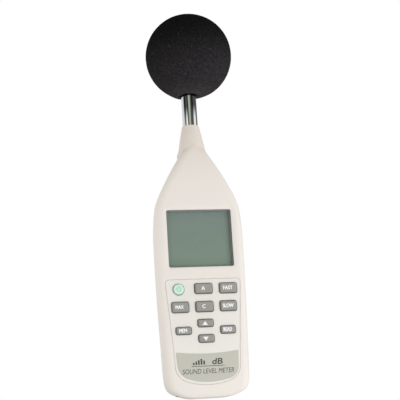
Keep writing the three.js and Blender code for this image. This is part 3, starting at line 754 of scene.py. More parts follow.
MOULDED = {
    "case_plastic": dict(colour=(0.880, 0.825, 0.750), rough=0.50, grain_size=0.34,
                         grain_depth=0.016, spread=0.018, warm_above=(160, 200)),
    "fascia_plastic": dict(colour=(0.875, 0.840, 0.765), rough=0.44, grain_size=0.26,
                           grain_depth=0.010, spread=0.015, edge=0.10),
    # painted shade: the flanks of the keys are darker than their tops, most where they go down
    # into their holes
    "key_plastic": dict(colour=srgb(159, 156, 149), rough=0.46, grain_size=0.22,
                        grain_depth=0.010, corner_dirt_and_shade=0.12, spread=0.035, edge=0.12,
                        painted_flank_shade=(KEY_TOP + 0.30, KEY_TOP + 1.15, 0.52)),
    # painted shade down the flanks of the power key too
    "power_key_plastic": dict(colour=(0.67, 0.93, 0.755), rough=0.30, grain_size=0.3,
                              grain_depth=0.005, corner_dirt_and_shade=0.06, subsurface=0.25,
                              painted_flank_shade=(POWER_TOP + 0.30, POWER_TOP + 1.2, 0.5)),
    "label_film": dict(colour=srgb(199, 198, 184), rough=0.46, grain_size=0.18,
                       grain_depth=0.005, corner_dirt_and_shade=0.04, spread=0.02, edge=0.0),
    "white_plastic": dict(colour=(0.80, 0.80, 0.77), rough=0.5),
    "black_plastic": dict(colour=(0.028, 0.028, 0.029), rough=0.42, grain_size=0.25,
                          corner_dirt_and_shade=0.0, spread=0.12),
    "black_rubber": dict(colour=(0.030, 0.030, 0.029), rough=0.72, grain_size=0.2,
                         grain_depth=0.02, corner_dirt_and_shade=0.0, spread=0.1, specular=0.3),
    "silicone": dict(colour=(0.26, 0.26, 0.245), rough=0.66, grain_size=0.3,
                     grain_depth=0.01, corner_dirt_and_shade=0.0, spread=0.06, subsurface=0.1),
    "gasket_rubber": dict(colour=(0.345, 0.35, 0.335), rough=0.6, grain_size=0.25,
                          grain_depth=0.01, corner_dirt_and_shade=0.0, spread=0.08, edge=0.0),
}
INKS = {
    "ink_white": dict(colour=(0.95, 0.95, 0.93), wear=0.05),
    "ink_dark": dict(colour=srgb(74, 74, 68)),
    "ink_grey": dict(colour=srgb(112, 112, 102)),
    "ink_mint": dict(colour=(0.34, 0.66, 0.50), rough=0.3),
}
METALS = {
    "chrome": dict(colour=(0.86, 0.87, 0.86), rough=0.045, scratch_size=0.35, scratch=0.05,
                   stretch=(1, 1, 0.02), depth=0.0015, spots=0.04, ball_reflection_painted=True),
    "spring_steel": dict(colour=(0.62, 0.61, 0.58), rough=0.24, spots=0.25),
    "brass": dict(colour=(0.80, 0.60, 0.27), rough=0.22, scratch_size=0.3, scratch=0.2,
                  stretch=(1, 1, 1), spots=0.35),
    "foil_label": dict(colour=(0.72, 0.72, 0.70), rough=0.38, scratch_size=0.25, scratch=0.35,
                       stretch=(0.04, 1, 1), spots=0.12),
}
MATERIALS = {}
for build, looks in ((moulded, MOULDED), (printed, INKS), (metal, METALS)):
    for name, look in looks.items():
        MATERIALS[name] = build(name, **look)
for build in (circuit_board, windscreen_foam, window_acrylic, lcd_glass):
    MATERIALS[build.__name__] = build()
MATERIALS["lcd_segments"] = printed(
    "lcd_segments", tuple(v * 0.90 for v in DISPLAY_MID), rough=0.3, wear=0.05)
MATERIALS["cell_jacket"] = cell_jacket()

# nodes that stay as the frame made them, and their finish
KEPT = {
    "keypad_mat": "silicone", "lcd_frame": "white_plastic", "backlight_guide": "white_plastic",
    "zebra_strip_upper": "black_rubber", "zebra_strip_lower": "black_rubber",
    "main_pcb": "circuit_board", "processor_chip": "black_plastic",
    "amplifier_chip": "black_plastic", "cal_trimmer_body": "white_plastic",
    "signal_cable": "black_rubber", "stem_nut": "brass", "stem_seal": "black_rubber",
    "preamp_pcb": "circuit_board", "mic_insulator": "white_plastic", "mic_backplate": "brass",
    "mic_diaphragm": "spring_steel", "contact_upper_left": "spring_steel",
    "contact_upper_right": "spring_steel", "contact_lower_middle": "spring_steel",
    "contact_lower_minus": "spring_steel", "contact_lower_plus": "spring_steel",
}
for node, material in KEPT.items():
    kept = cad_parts[node]
    for slot in kept.material_slots:
        slot.material = MATERIALS[material]
    if not kept.material_slots:
        kept.data.materials.append(MATERIALS[material])

# ---------------------------------------------------------------- case shape
# all tables: (z, value)
HALF_WIDTH = [
    (0, 13.0), (0.5, 16.4), (1.4, 20.2), (2.8, 24.2), (4.6, 27.6), (7.0, 30.4), (13, 32.5),
    (20, 33.0), (38, 33.5), (62, 34.3), (88, 34.8), (114, 35.1), (128, 35.1), (138, 34.6),
    (145, 33.7), (151, 32.0), (157, 29.4), (163, 26.4), (172, 21.5), (180, 16.8), (187, 12.5),
    (194, 8.3), (200, 4.5),
]
FRONT_Y = [
    (0, -8.2), (0.5, -9.4), (1.4, -10.4), (2.8, -11.2), (4.6, -11.75), (7.0, FACE_Y),
    (168, FACE_Y), (180, -11.75), (190, -11.35), (195, -10.75), (200, -9.3),
]
REAR_Y = [
    (0, 5.6), (0.5, 7.4), (1.4, 9.1), (2.8, 10.6), (4.6, 11.6), (7.0, 12.1), (10, BACK_Y),
    (172, BACK_Y), (187, 12.0), (200, 9),
]
# corner radii along x and y
REAR_RADIUS_X = [(0, 5), (7, 6.2), (145, 6.2), (157, 8.6), (165, 10), (180, 11.5), (200, 12.2)]
REAR_RADIUS_Y = [(0, 5), (7, 7), (150, 7.2), (180, 9.5), (200, 11.9)]
FRONT_RADIUS_X = [(0, 5), (7, 6.2), (145, 6.2), (157, 6.6), (170, 7.0), (185, 7.2), (200, 8.5)]
FRONT_RADIUS_Y = [(0, 5), (7, 7), (140, 7.0), (157, 5.2), (172, 4.4), (185, 4.6), (200, 8.0)]
DRAFT = [(0, 0.10), (114, 0.10), (145, 0.18), (160, 0.24), (200, 0.24)]  # narrowing per y
CASE_TABLES = (HALF_WIDTH, FRONT_Y, REAR_Y, REAR_RADIUS_X, REAR_RADIUS_Y,
               FRONT_RADIUS_X, FRONT_RADIUS_Y, DRAFT)
SMOOTH = [smooth_curve(table) for table in CASE_TABLES]
PLAIN = [linear_curve(table) for table in CASE_TABLES]


def section(z, offset, corner_steps, curves=SMOOTH, flat_steps=1):
    """Level outline of the case, drawn in by offset."""
    half, front, rear, rear_rx, rear_ry, front_rx, front_ry, draft = [c(z) for c in curves]
    half, front, rear = half - offset, front + offset, rear - offset
    rear_rx, front_rx = max(1.2, rear_rx - offset), max(1.2, front_rx - offset)
    front_ry = min(-front - 0.05, max(1.2, front_ry - offset))
    rear_ry = min(rear - 0.05, max(1.2, rear_ry - offset - 0.5))
    rear_cy, front_cy = rear - rear_ry, front + front_ry
    rear_half = half - draft * max(0.0, rear_cy - front_cy)
    corners = (
        (1, rear_half, rear_cy, rear_rx, rear_ry, 0),
        (-1, rear_half, rear_cy, rear_rx, rear_ry, 90),
        (-1, half, front_cy, front_rx, front_ry, 180),
        (1, half, front_cy, front_rx, front_ry, 270),
    )
    arcs = []
    for side, width, cy, rx, ry, start in corners:
        rx = min(rx, width - 0.05)
        angles = [math.radians(start + 90 * i / corner_steps) for i in range(corner_steps + 1)]
        arcs.append([(side * (width - rx) + rx * math.cos(a), cy + ry * math.sin(a))
                     for a in angles])
    points = []
    for i, arc in enumerate(arcs):
        last, following = arc[-1], arcs[(i + 1) % 4][0]
        points += arc
        for j in range(1, flat_steps):
            t = j / flat_steps
            points.append((last[0] * (1 - t) + following[0] * t,
                           last[1] * (1 - t) + following[1] * t))
    return [(x, y, z) for x, y in points]


def side_x(y, z):
    """Half width of the case at a depth, on the straight part of its side."""
    half, front, _, _, _, _, front_ry, draft = [c(z) for c in SMOOTH]
    return half - draft * max(0.0, y - (front + front_ry))


def body_solid():
    levels = [0, 0.12, 0.3, 0.5, 0.9, 1.4, 2.0, 2.8, 3.6, 4.6, 5.8, 7, 8.6, 10.5, 13]
    # closer where the shoulders curve in
    levels += [*np.arange(15.5, 145, 2.5), *np.arange(145.5, 178, 1.5)]
    levels += [*np.arange(178.5, 200, 1.0), 200]
    return loft([section(z, 0, corner_steps=12, flat_steps=6) for z in levels])


def half_space(front):
    y0, y1 = (-60, PART_FRONT_Y) if front else (PART_REAR_Y, 60)
    return mid_block(60, y0, y1, -5, 260)


def collar(front):
    """The round neck about the stem; its front half is trimmed by a sloping plane."""
    radius = smooth_curve([(178, 14.0), (190.5, 11.5), (195.5, 10.4), (200.6, 9.5), (206, 8.5),
                           (211.4, 7.35), (NECK_TOP - 0.4, 6.95)])
    top = [(6.93, NECK_TOP - 0.32), (6.86, NECK_TOP - 0.14), (6.72, NECK_TOP - 0.03),
           (6.6, NECK_TOP), (0, NECK_TOP)]
    if front:
        painted_flank_shade = [(radius(z), z) for z in np.linspace(178, NECK_TOP - 0.5, 34)]
        trim = [(-11.85, 177), (-11.35, 190), (-10.95, 199.5), (-10.4, 212), (-10.4, 220),
                (20, 220), (20, 177)]  # y, z
        turned = lathe([(0, 178)] + painted_flank_shade + top, 128)
        return meet(turned, loft([[(x, y, z) for y, z in trim] for x in (-40, 40)]))
    foot, blend_end = 189.5, 194.5

    def rear_radius(z):
        if z > blend_end:
            return min(radius(z) + 0.02, 12.2)
        return float(np.interp(z, [foot, blend_end], [12.2, radius(blend_end) + 0.02]))

    profile = [(0, foot), (11.8, foot), (12.06, foot + 0.06), (12.18, foot + 0.22)]
    profile += [(rear_radius(z), z) for z in np.linspace(foot + 0.5, NECK_TOP - 0.5, 28)]
    return lathe(profile + top, 128)


def hollow_solid():
    loops = [[(x, y, 2.4) for x, y, _ in section(4.6, WALL + 1.6, 3, PLAIN)]]
    loops += [section(z, WALL, 3, PLAIN) for z in (4.6, 13, 38, 114, 138, 151, 163, 177)]
    return loft(loops)


def wall_ring(outer_depth, inner_depth, y0, y1):
    """A band inside the wall, between two depths behind the outer surface."""
    # z, extra depth
    outer = [(1.3, 0.9), (2.8, 0.5), (4.6, 0.25), (7, 0.1)]
    outer += [(z, 0) for z in (13, 38, 76, 114, 128, 138, 145, 151, 157, 163, 172, 180, 184)]
    inner = [(2.5, 0.5)] + outer[2:-2]
    band, core = (loft([section(z, depth + extra, 6, PLAIN) for z, extra in stations])
                  for depth, stations in ((outer_depth, outer), (inner_depth, inner)))
    return cut(meet(band, mid_block(60, y0, y1, -5, 260)), core)


def bored(obj):
    """Stem bore with a small mouth, and the seal groove."""
    bore, mouth = STEM_R + 0.2, STEM_R + 0.34
    return cut(
        obj,
        lathe([(0, 170), (bore, 170), (bore, NECK_TOP - 0.2), (mouth, NECK_TOP + 0.02),
               (mouth, 220), (0, 220)], 96),
        lathe([(0, 185.7), (8.2, 185.7), (8.2, 188.3), (0, 188.3)], 64),
    )


# right halves of the outlines, (x, z) from the bottom centre up
FASCIA_HALF = [
    (0, 9.7), (9.8, 10.6), (18.3, 13.1), (22.0, 16.0), (24.2, 19.6), (25.0, 24.0), (25.3, 34.0),
    (29.1, FASCIA_TOP - 2.6), (28.7, FASCIA_TOP - 0.9), (26.9, FASCIA_TOP),
]
LABEL_TOP = [(23.73, 34.4), (16, 33.42), (8, 32.83), (0, 32.63)]
LABEL_LEFT = [(9.3, 12.65), (17.15, 15.1), (20.6, 17.75), (22.65, 21.1), (23.25, 24.7)]
# the lower right corner of the label is cut a little fuller than the left one
LABEL_RIGHT = [(0, 11.75), (9.4, 12.5), (17.6, 14.4), (21.3, 16.85), (23.1, 20.8), (23.4, 24.7)]


def mirrored(points):
    return [(-x, z) for x, z in reversed(points)]


FASCIA = smooth_outline(FASCIA_HALF + mirrored(FASCIA_HALF[1:]))
LABEL = smooth_outline(LABEL_RIGHT + LABEL_TOP + mirrored(LABEL_LEFT + LABEL_TOP[:-1]),
                       corner_reach=0.7)


def key_outline(x, z, width, height):
    if width:
        return round_rect(x, z, width, height, 1.7, 8, lean=0.5)
    return circle(x, z, height, 72)


def lcd_opening(grow):
    return round_rect(0, (LCD_Z0 + LCD_Z1) / 2, 2 * (LCD_HALF + grow),
                      LCD_Z1 - LCD_Z0 + 2 * grow, 1.5 + grow, 8)


def rating_outline(width, height, radius):
    return round_rect(0, RATING_Z, width, height, radius, 6)


# ---------------------------------------------------------------- front half of the case
front = meet(body_solid(), half_space(True))
front = join(front, meet(collar(True), half_space(True)))
front = cut(front, hollow_solid())
# a tongue closes the parting line from inside; it is notched where the sockets pass
tongue = wall_ring(1.05, WALL - 0.12, PART_FRONT_Y - 0.6, PART_REAR_Y + 0.4)
front = join(front, cut(tongue, block(24, 40, PART_FRONT_Y - 0.1, 9, 98, 138)))
front = bored(front)
for x, z in SCREWS:
    front = join(front, rod(2.8, x, -9.9, z, PART_FRONT_Y + 9.9, 40))
for x, z in SCREWS:
    front = cut(front, rod(1.25, x, -7.2, z, 10.2, 24))
for x in (-23, 23):
    front = join(front, rod(1.9, x, -9.9, 92.2, 5.6, 32))
# display opening with a curved lip, recess for the lens, recess for the keypad overlay
LIP = [(grow, 0.74 * (1 - grow / 4.6) ** 3)
       for grow in (3.4, 2.8, 2.2, 1.7, 1.2, 0.8, 0.5, 0.25, 0.10)]
front = cut(
    front,
    stack(tiers(lcd_opening, FACE_Y, [(3.9, -0.3), (3.9, -0.02), *LIP, (0.02, 0.79), (0, 0.88)],
                end=-9)),
    mid_block(27.6, LENS_FRONT - 0.1, -9, 96.9, 145.7),
    stack(inset_tiers(FASCIA, FACE_Y, [(-0.70, -0.3), (-0.54, -0.02), (-0.36, 0.08),
                                       (-0.22, 0.24), (-0.18, 0.45)], end=-10.7)),
)
for x, z, w, h in KEYS.values():
    if w:
        hole = block(x - w / 2 - 0.6, x + w / 2 + 0.6, -11, -9, z - h / 2 - 0.4, z + h / 2 + 0.4)
    else:
        hole = prism(circle(x, z, h + 0.4), -11, -9)
    front = cut(front, hole)
finish(front, "case_front", "case_plastic", 30)

# ---------------------------------------------------------------- rear half of the case
rear = meet(body_solid(), half_space(False))
rear = join(rear, meet(collar(False), half_space(False)))
rear = cut(rear, hollow_solid())
rear = cut(rear, wall_ring(0.90, WALL + 0.5, PART_REAR_Y - 1, PART_REAR_Y + 0.55))
rear = bored(rear)
bay = mid_block(BAY_HALF + 1.4, BAY_FLOOR - 1.4, 11, BAY_Z0 - 1.5, BAY_Z1 + 1.5)
rear = join(rear, meet(bay, body_solid()))
for x, z in SCREWS:
    boss = rod(3.2, x, PART_REAR_Y, z, 12.2 - PART_REAR_Y, 40)
    rear = join(rear, meet(boss, body_solid()))
for x, z in SCREWS:
    steps = [(2.65, 5.5), (2.65, 12.0), (2.95, 12.32), (2.95, 14)]
    rear = cut(rear, rod(1.35, x, 0, z, 13, 32),
               stack(tiers(lambda radius: circle(x, z, radius), 0, steps)))
rear = join(rear, rod(6.6, 0, 2.6, TRIPOD_Z, 9.4, 64))
rear = cut(rear, stack(tiers(lambda radius: circle(0, TRIPOD_Z, radius, 64), 0,
                             [(4.7, 4.0), (4.7, 12.0), (5.1, 12.35), (5.1, 14)])))
rear = cut(rear, mid_block(BAY_HALF, BAY_FLOOR, 12, BAY_Z0, BAY_Z1))
# room for the battery door, its side rails and its tab
rear = cut(rear, join(
    mid_block(DOOR_HALF + DOOR_GAP, DOOR_IN - 0.2, 20, -5, DOOR_TOP + DOOR_GAP),
    mid_block(DOOR_HALF + DOOR_RAIL + DOOR_GAP, DOOR_IN - 0.2, 11.35, -5, DOOR_TOP + DOOR_GAP),
    mid_block(6.3, DOOR_IN - 0.2, 11.35, DOOR_TOP, DOOR_TOP + 2.2),
))
# rating label recess
pocket, pocket_mouth = rating_outline(42, 24, 2), rating_outline(42.5, 24.5, 2.25)
rear = cut(rear, stack([(pocket, 12.0), (pocket, 12.2), (pocket_mouth, 12.34),
                        (pocket_mouth, 14)]))
for z, radius in ((SIGNAL_Z, 3.4), (SUPPLY_Z, 3.9), (TRIMMER_Z, 1.95)):
    edge = side_x(SIDE_Y, z)
    rear = cut(rear, side_lathe([
        (0, 30), (radius, 30), (radius, edge - 0.35), (radius + 0.4, edge + 0.06),
        (radius + 1.2, edge + 0.9), (radius + 1.2, 40), (0, 40),
    ], 64, z))
# low ribs between the cells on the floor of the bay
for i in range(3):
    x = (i - 1) * CELL_PITCH
    rear = join(rear, block(x - 0.35, x + 0.35, BAY_FLOOR - 0.1, 0.7, BAY_Z0 - 0.1, BAY_Z1 + 0.1))
finish(rear, "case_rear", "case_plastic", 30)

# ---------------------------------------------------------------- keypad overlay, name label
fascia = stack(inset_tiers(FASCIA, FACE_Y, [
    (0.44, 0), (0.24, 0.04), (0.09, 0.15), (0.02, 0.32), (0, 0.40), (-0.13, 0.47)], end=-10.75))
for key in KEYS.values():
    fascia = cut(fascia, stack(inset_tiers(key_outline(*key), FACE_Y, [
        (-0.45, -0.3), (-0.34, -0.02), (-0.24, 0.04), (-0.17, 0.13), (-0.15, 0.28)], end=-10)))
fascia = cut(fascia, stack(inset_tiers(LABEL, FACE_Y, [
    (-0.55, -0.3), (-0.42, -0.02), (-0.29, 0.07), (-0.25, 0.14), (-0.25, 0.25)])))
finish(fascia, "keypad_overlay", "fascia_plastic", 30)

name_plate = stack(inset_tiers(LABEL, LABEL_Y, [(0.10, 0), (0.03, 0.03), (0, 0.08)],
                               end=FACE_Y + 0.22))
finish(name_plate, "label_plate", "label_film", 40)

# a row of bars and "dB", underlined, above the words for what the thing is
BAR_HEIGHTS = (1.6, 2.5, 3.4, 4.3, 3.0)
BAR_X, BAR_Z, BAR_WIDTH, BAR_PITCH = -11.6, 24.65, 1.3, 2.0
LABEL_LIFT = 0.022


def label_mark(*rectangle):
    return stamp(round_rect(*rectangle), LABEL_Y, LABEL_LIFT, 0.02, "ink_dark")


marks = []
for i, tall in enumerate(BAR_HEIGHTS):
    x = BAR_X + i * BAR_PITCH + BAR_WIDTH / 2
    marks.append(label_mark(x, BAR_Z + tall / 2, BAR_WIDTH, tall, 0.28, 4))
marks.append(lettering("dB", 7.3, 26.85, 8.2, 4.5, LABEL_Y, LABEL_LIFT, "ink_dark",
                       bold=0.02, slant=0.12))
marks.append(label_mark(0.0, 23.55, 25.4, 0.42, 0.12, 3))
marks.append(lettering("SOUND LEVEL METER", 0.0, 19.85, 39.6, 3.6, LABEL_Y, LABEL_LIFT,
                       "ink_dark", slant=0.20))
label_print = joined("label_print", marks)

# ---------------------------------------------------------------- keys
# edge rounding, (inset, depth behind the top)
KEY_EDGE = [(1.52, 0.0), (1.30, 0.015), (1.12, 0.06), (0.98, 0.14), (0.84, 0.27), (0.66, 0.52),
            (0.50, 0.78), (0.38, 1.02), (0.26, 1.40), (0.10, 1.95), (0.0, 2.35)]
ROUND_KEY_EDGE = [(1.9, 0.0), (1.45, 0.03), (1.08, 0.11), (0.78, 0.25), (0.54, 0.46),
                  (0.36, 0.75), (0.22, 1.15), (0.10, 1.7), (0.0, 2.25)]
KEY_MARGIN = KEY_EDGE[0][0]
# shallow finger dish, (share of the way from centre to rim, depth)
DISH = [(0.0, 0.16), (0.35, 0.145), (0.65, 0.10), (0.88, 0.035), (1.0, 0.0)]


def key_cap(x, z, width, height):
    outline = key_outline(x, z, width, height)
    layers = inset_tiers(outline, KEY_TOP, KEY_EDGE if width else ROUND_KEY_EDGE, end=-9.2)
    if width:
        dish = []
        for share, depth in DISH[:-1]:
            size = max(share, 0.02)
            ring = [(x + (px - x) * size, z + (pz - z) * size) for px, pz in layers[0][0]]
            dish.append((ring, KEY_TOP + depth))
        layers = dish + layers
        foot = block(x - width / 2 - 1.1, x + width / 2 + 1.1, -9.5, -8.7,
                     z - height / 2 - 0.9, z + height / 2 + 0.9)
    else:
        foot = rod(height + 0.9, x, -9.5, z, 0.8, 64)
    return join(stack(layers), foot, rod(2.1, x, -8.8, z, 3.45, 40))


def settle(legend, x, z, width, height, lift):
    """Lays a legend into the finger dish, just proud of it."""
    for vertex in legend.data.vertices:
        share = max(abs(vertex.co.x / MM - x) / (width / 2 - KEY_MARGIN),
                    abs(vertex.co.z / MM - z) / (height / 2 - KEY_MARGIN))
        depth = float(np.interp(share, *zip(*DISH)))
        proud = 0.01 - lift if vertex.co.y / MM < KEY_TOP else 0.05
        vertex.co.y = (KEY_TOP + depth + proud) * MM
    return legend


def power_sign(x, z):
    """A ring open at the top and an upright stroke."""
    angles = np.linspace(math.radians(125), math.radians(415), 40)
    ring = [(x + 1.85 * math.cos(a), z + 1.85 * math.sin(a)) for a in angles]
    ring += [(x + 1.40 * math.cos(a), z + 1.40 * math.sin(a)) for a in angles[::-1]]
    stroke = round_rect(x, z + 1.35, 0.5, 2.1, 0.2, 4)
    return [stamp(outline, KEY_TOP, 0.02, 0.08, "ink_mint") for outline in (ring, stroke)]


def key_print(name, key):
    x, z = key[:2]
    if name == "key_power":
        return power_sign(x, z)
    if name in LEGENDS:
        body, width, height, left = LEGENDS[name]
        # four shifted copies thicken the strokes; each lies at its own lift
        copies = ((-0.19, 0.0, 0.032), (0.19, 0.0, 0.029), (0.0, 0.11, 0.026), (0.0, -0.11, 0.023))
        return [settle(lettering(body, x + left + dx, z + dz, width, height, KEY_TOP, lift,
                                 "ink_white"), *key, lift) for dx, dz, lift in copies]
    way = 1 if name == "key_up" else -1
    tx, tz = x - 0.75, z - 0.3
    arrow = [(tx - 2.15 * way, tz - 1.4 * way), (tx + 2.15 * way, tz - 1.4 * way),
             (tx, tz + 1.6 * way)]
    return [settle(stamp(arrow, KEY_TOP, 0.03, 0.03, "ink_white"), *key, 0.03)]


key_objects = {}
for name, key in KEYS.items():
    plastic = "power_key_plastic" if name == "key_power" else "key_plastic"
    cap = shade(paint(key_cap(*key), plastic), 38)
    key_objects[name] = joined("keycap_" + name[4:], [cap] + key_print(name, key))


# ---------------------------------------------------------------- display
def slab(half, y0, y1, z0, z1, radius, edge):
    """A plate centred on x = 0 with softened front and back edges."""
    def outline(amount):
        return round_rect(0, (z0 + z1) / 2, 2 * half - 2 * amount, z1 - z0 - 2 * amount,
                          max(0.15, radius - amount), 6)

    return stack(tiers(outline, 0, [(edge, y0), (edge * 0.3, y0 + edge * 0.3), (0, y0 + edge),
                                    (0, y1 - edge * 0.5), (edge * 0.5, y1)]))


lens = slab(27.3, LENS_FRONT, LENS_FRONT + 1.3, 97.2, 145.4, 1.0, edge=0.15)
finish(lens, "display_window", "window_acrylic", 40)
surround = slab(26.9, LENS_FRONT + 1.35, LCD_FRONT - 0.05, 97.5, 145.1, 0.8, edge=0.1)
surround = cut(surround, stack(inset_tiers(round_rect(0, 121.35, 49.2, 43.1, 0.9, 6), 0, [
    (-0.35, -12), (-0.35, LENS_FRONT + 1.6), (0, LENS_FRONT + 2.0), (0, -5)])))
finish(surround, "display_surround", "gasket_rubber", 35)
glass = slab(27, LCD_FRONT + 0.02, LCD_FRONT + 1.4, 96.5, 145.9, 0.4, edge=0.08)
finish(glass, "display_glass", "lcd_glass", 40)


def figure_bars(cx, cz, width, height, thick):
    """The seven bars of a figure leaning to the right, in the order a to g."""
    hw, hh, gap = width / 2, height / 2, thick * 0.12
    long_x, short_x = hw - thick * .6 - gap, hw - thick - gap
    level = [(-long_x, hh), (long_x, hh), (short_x, hh - thick), (-short_x, hh - thick)]
    upright = [(-hw, hh - thick * .5 - gap), (-hw, gap), (-hw + thick * .55, gap + thick * .1),
               (-hw + thick, thick / 2 + gap), (-hw + thick, hh - thick - gap)]
    middle = [(-short_x, thick / 2), (short_x, thick / 2), (long_x, 0),
              (short_x, -thick / 2), (-short_x, -thick / 2), (-long_x, 0)]
    bars = []
    for bar, flip_x, flip_z in ((level, 1, 1), (upright, -1, 1), (upright, -1, -1),
                                (level, 1, -1), (upright, 1, -1), (upright, 1, 1),
                                (middle, 1, 1)):
        points = [(cx + px * flip_x + pz * flip_z * 0.10, cz + pz * flip_z) for px, pz in bar]
        area = sum(points[i - 1][0] * points[i][1] - points[i][0] * points[i - 1][1]
                   for i in range(len(points)))
        bars.append(points if area > 0 else points[::-1])
    return bars


GHOST_Y, GHOST_LIFT = LCD_FRONT + 0.02, 0.012
# text, x, z, width, height
GHOST_WORDS = [("dB", 18.3, 124.8, 4.6, 3.4), ("MAX", -16.6, 135.6, 6.2, 2.2),
               ("FAST", -7.5, 135.6, 7.2, 2.2), ("SLOW", 2.6, 135.6, 7.6, 2.2),
               ("MEM", 12.2, 135.6, 6.0, 2.2)]
shapes = []
for x in (-10.5, -0.5, 9.5):
    shapes += figure_bars(x, 120.5, width=7.6, height=14.5, thick=1.35)
shapes.append(circle(4.1, 113.8, 0.7, 20))
for i in range(31):  # a scale, every fifth mark taller
    raised, tall = (0.35, 2.0) if i % 5 == 0 else (0, 1.3)
    shapes.append(round_rect(-18.0 + i * 1.2, 105.0 + raised, 0.55, tall, 0.1, 2))
ghosts = [stamp(shape, GHOST_Y, GHOST_LIFT, 0.02, "lcd_segments") for shape in shapes]
ghosts += [lettering(*word, GHOST_Y, GHOST_LIFT, "lcd_segments") for word in GHOST_WORDS]
ghost_print = joined("display_segments", ghosts)

# ---------------------------------------------------------------- stem, capsule, grid
stem = lathe([
    (5.4, STEM_Z0), (STEM_R - 0.3, STEM_Z0), (STEM_R, STEM_Z0 + 0.3), (STEM_R, 215),
    (STEM_R, 225), (STEM_R, 236), (STEM_R, STEM_Z1 - 0.35), (STEM_R - 0.3, STEM_Z1),
    (5.4, STEM_Z1), (5.4, STEM_Z0)], 160)
finish(stem, "mic_stem", "chrome", 30)

MIC_R = 6.6
profile = [(5.6, 247.1), (MIC_R - 0.25, 247.1), (MIC_R, 247.35), (MIC_R, 248.6)]
for i in range(7):  # fine grooves round the capsule
    z = 248.9 + i * 0.5
    profile += [(MIC_R - 0.16, z), (MIC_R, z + 0.18), (MIC_R, z + 0.3)]
profile += [(MIC_R, 252.9), (MIC_R - 0.1, 253.1), (MIC_R - 0.1, 253.4), (MIC_R, 253.6),
            (MIC_R, 259.15), (MIC_R - 0.25, 259.4), (5.6, 259.4), (5.6, 247.1)]
capsule = finish(lathe(profile, 128), "mic_capsule", "chrome", 24)

grid = lathe([
    (5.7, 259.6), (MIC_R - 0.2, 259.6), (MIC_R, 259.8), (MIC_R, 260.4), (MIC_R - 0.1, 260.5),
    (MIC_R - 0.1, 260.8), (MIC_R, 260.9), (MIC_R, 264.3), (MIC_R - 0.08, 264.62),
    (MIC_R - 0.3, 264.88), (MIC_R - 0.65, 265.0), (0, 265.0), (0, 264.2), (5.7, 264.2),
    (5.7, 259.6)], 128)
for i in range(-2, 3):
    length = 2 * (4.9 - abs(i) * 0.7)
    slot = [(x, i * 1.9 + y) for x, y in round_rect(0, 0, length, 0.9, 0.44, 6)]
    grid = cut(grid, loft([[(x, y, z) for x, y in slot] for z in (263, 266)]))
finish(grid, "mic_cap", "chrome", 28)

# ---------------------------------------------------------------- foam windscreen
BALL_OFFSET = 1.9  # the foam is cut a little off centre from its bore
RIM_R = 9.4


def foam_ball():
    """One skin: a pitted ball whose lowest part is folded up into the bore."""
    bm = bmesh.new()
    bmesh.ops.create_icosphere(bm, subdivisions=8, radius=1.0)
    rim_angle = math.asin(RIM_R / BALL_R)
    rim_z = BALL_Z - BALL_R * math.cos(rim_angle)
    # radius, z from the rim up the bore to its closed end
    bore = [(RIM_R, rim_z), (8.8, rim_z - 0.10), (8.1, 239.93), (7.45, 240.0), (7.05, 240.25),
            (6.8, 240.7), (6.72, 241.4), (6.74, 243.5), (6.95, 245.5), (6.95, 266.1),
            (6.5, 266.2), (0.0, 266.2)]
    travel = [0.0]
    for (r1, z1), (r2, z2) in zip(bore, bore[1:]):
        travel.append(travel[-1] + math.hypot(r2 - r1, z2 - z1))
    radii, heights = zip(*bore)
    centre = Vector((0, 0, BALL_Z))
    for vertex in bm.verts:
        way = vertex.co.normalized()
        angle = math.acos(max(-1, min(1, -way.z)))  # from straight down
        if angle >= rim_angle:
            t = min(1.0, (angle - rim_angle) / 0.35)
            shift = Vector((BALL_OFFSET * t * t * (3 - 2 * t), 0, 0))
            p = centre + shift + way * BALL_R
            near = noise.voronoi(p / 1.25, distance_metric="DISTANCE", exponent=2.5)[0]
            pore = min(1.0, (near[1] - near[0]) * 2.2)
            broad = noise.noise(p / 7.5)
            small = noise.noise(p / 0.8)
            # the pitting dies out at the rim
            ease = min(1.0, (angle - rim_angle) / 0.03)
            p = p - way * (0.34 * pore * ease + 0.10 * (broad + 1) * ease * 0.5
                           + 0.10 * (small + 1) * ease * 0.5)
        else:
            t = (1 - angle / rim_angle) * travel[-1]
            radius = float(np.interp(t, travel, radii))
            z = float(np.interp(t, travel, heights))
            outward = Vector((way.x, way.y, 0))
            if outward.length > 1e-7:
                outward.normalize()
            p = outward * radius + Vector((0, 0, z))
            if 0.4 < t < travel[-1] - 1:
                p += outward * (0.10 * (noise.noise(p / 0.9) + 1) * 0.5)
        vertex.co = p
    for vertex in bm.verts:
        vertex.co *= MM
    for face in bm.faces:
        face.smooth = True
    mesh = bpy.data.meshes.new("foam_ball")
    bm.to_mesh(mesh)
    bm.free()
    return paint(linked(mesh, "foam_ball"), "windscreen_foam")


ball = foam_ball()

# ---------------------------------------------------------------- battery door
door = mid_block(DOOR_HALF, DOOR_IN, 20, -5, DOOR_TOP)
door = join(door, mid_block(DOOR_HALF + DOOR_RAIL, DOOR_IN, 11.15, -5, DOOR_TOP - 1))
door = meet(door, body_solid())
door = join(door, mid_block(6, DOOR_IN, 11.15, DOOR_TOP - 1, DOOR_TOP + 1.8))
# width, height, corner radius, y of the grip grooves
GRIP = [(15.4, 0.5, 0.24, 11.75), (15.8, 0.9, 0.44, 11.9), (16.0, 1.0, 0.5, 12.1),
        (16.5, 1.5, 0.75, 12.34), (16.5, 1.5, 0.75, 13)]
for i in range(5):
    z = 45.1 + i * 2.2
    door = cut(door, stack([(round_rect(0, z, w, h, r, 5), y) for w, h, r, y in GRIP]))
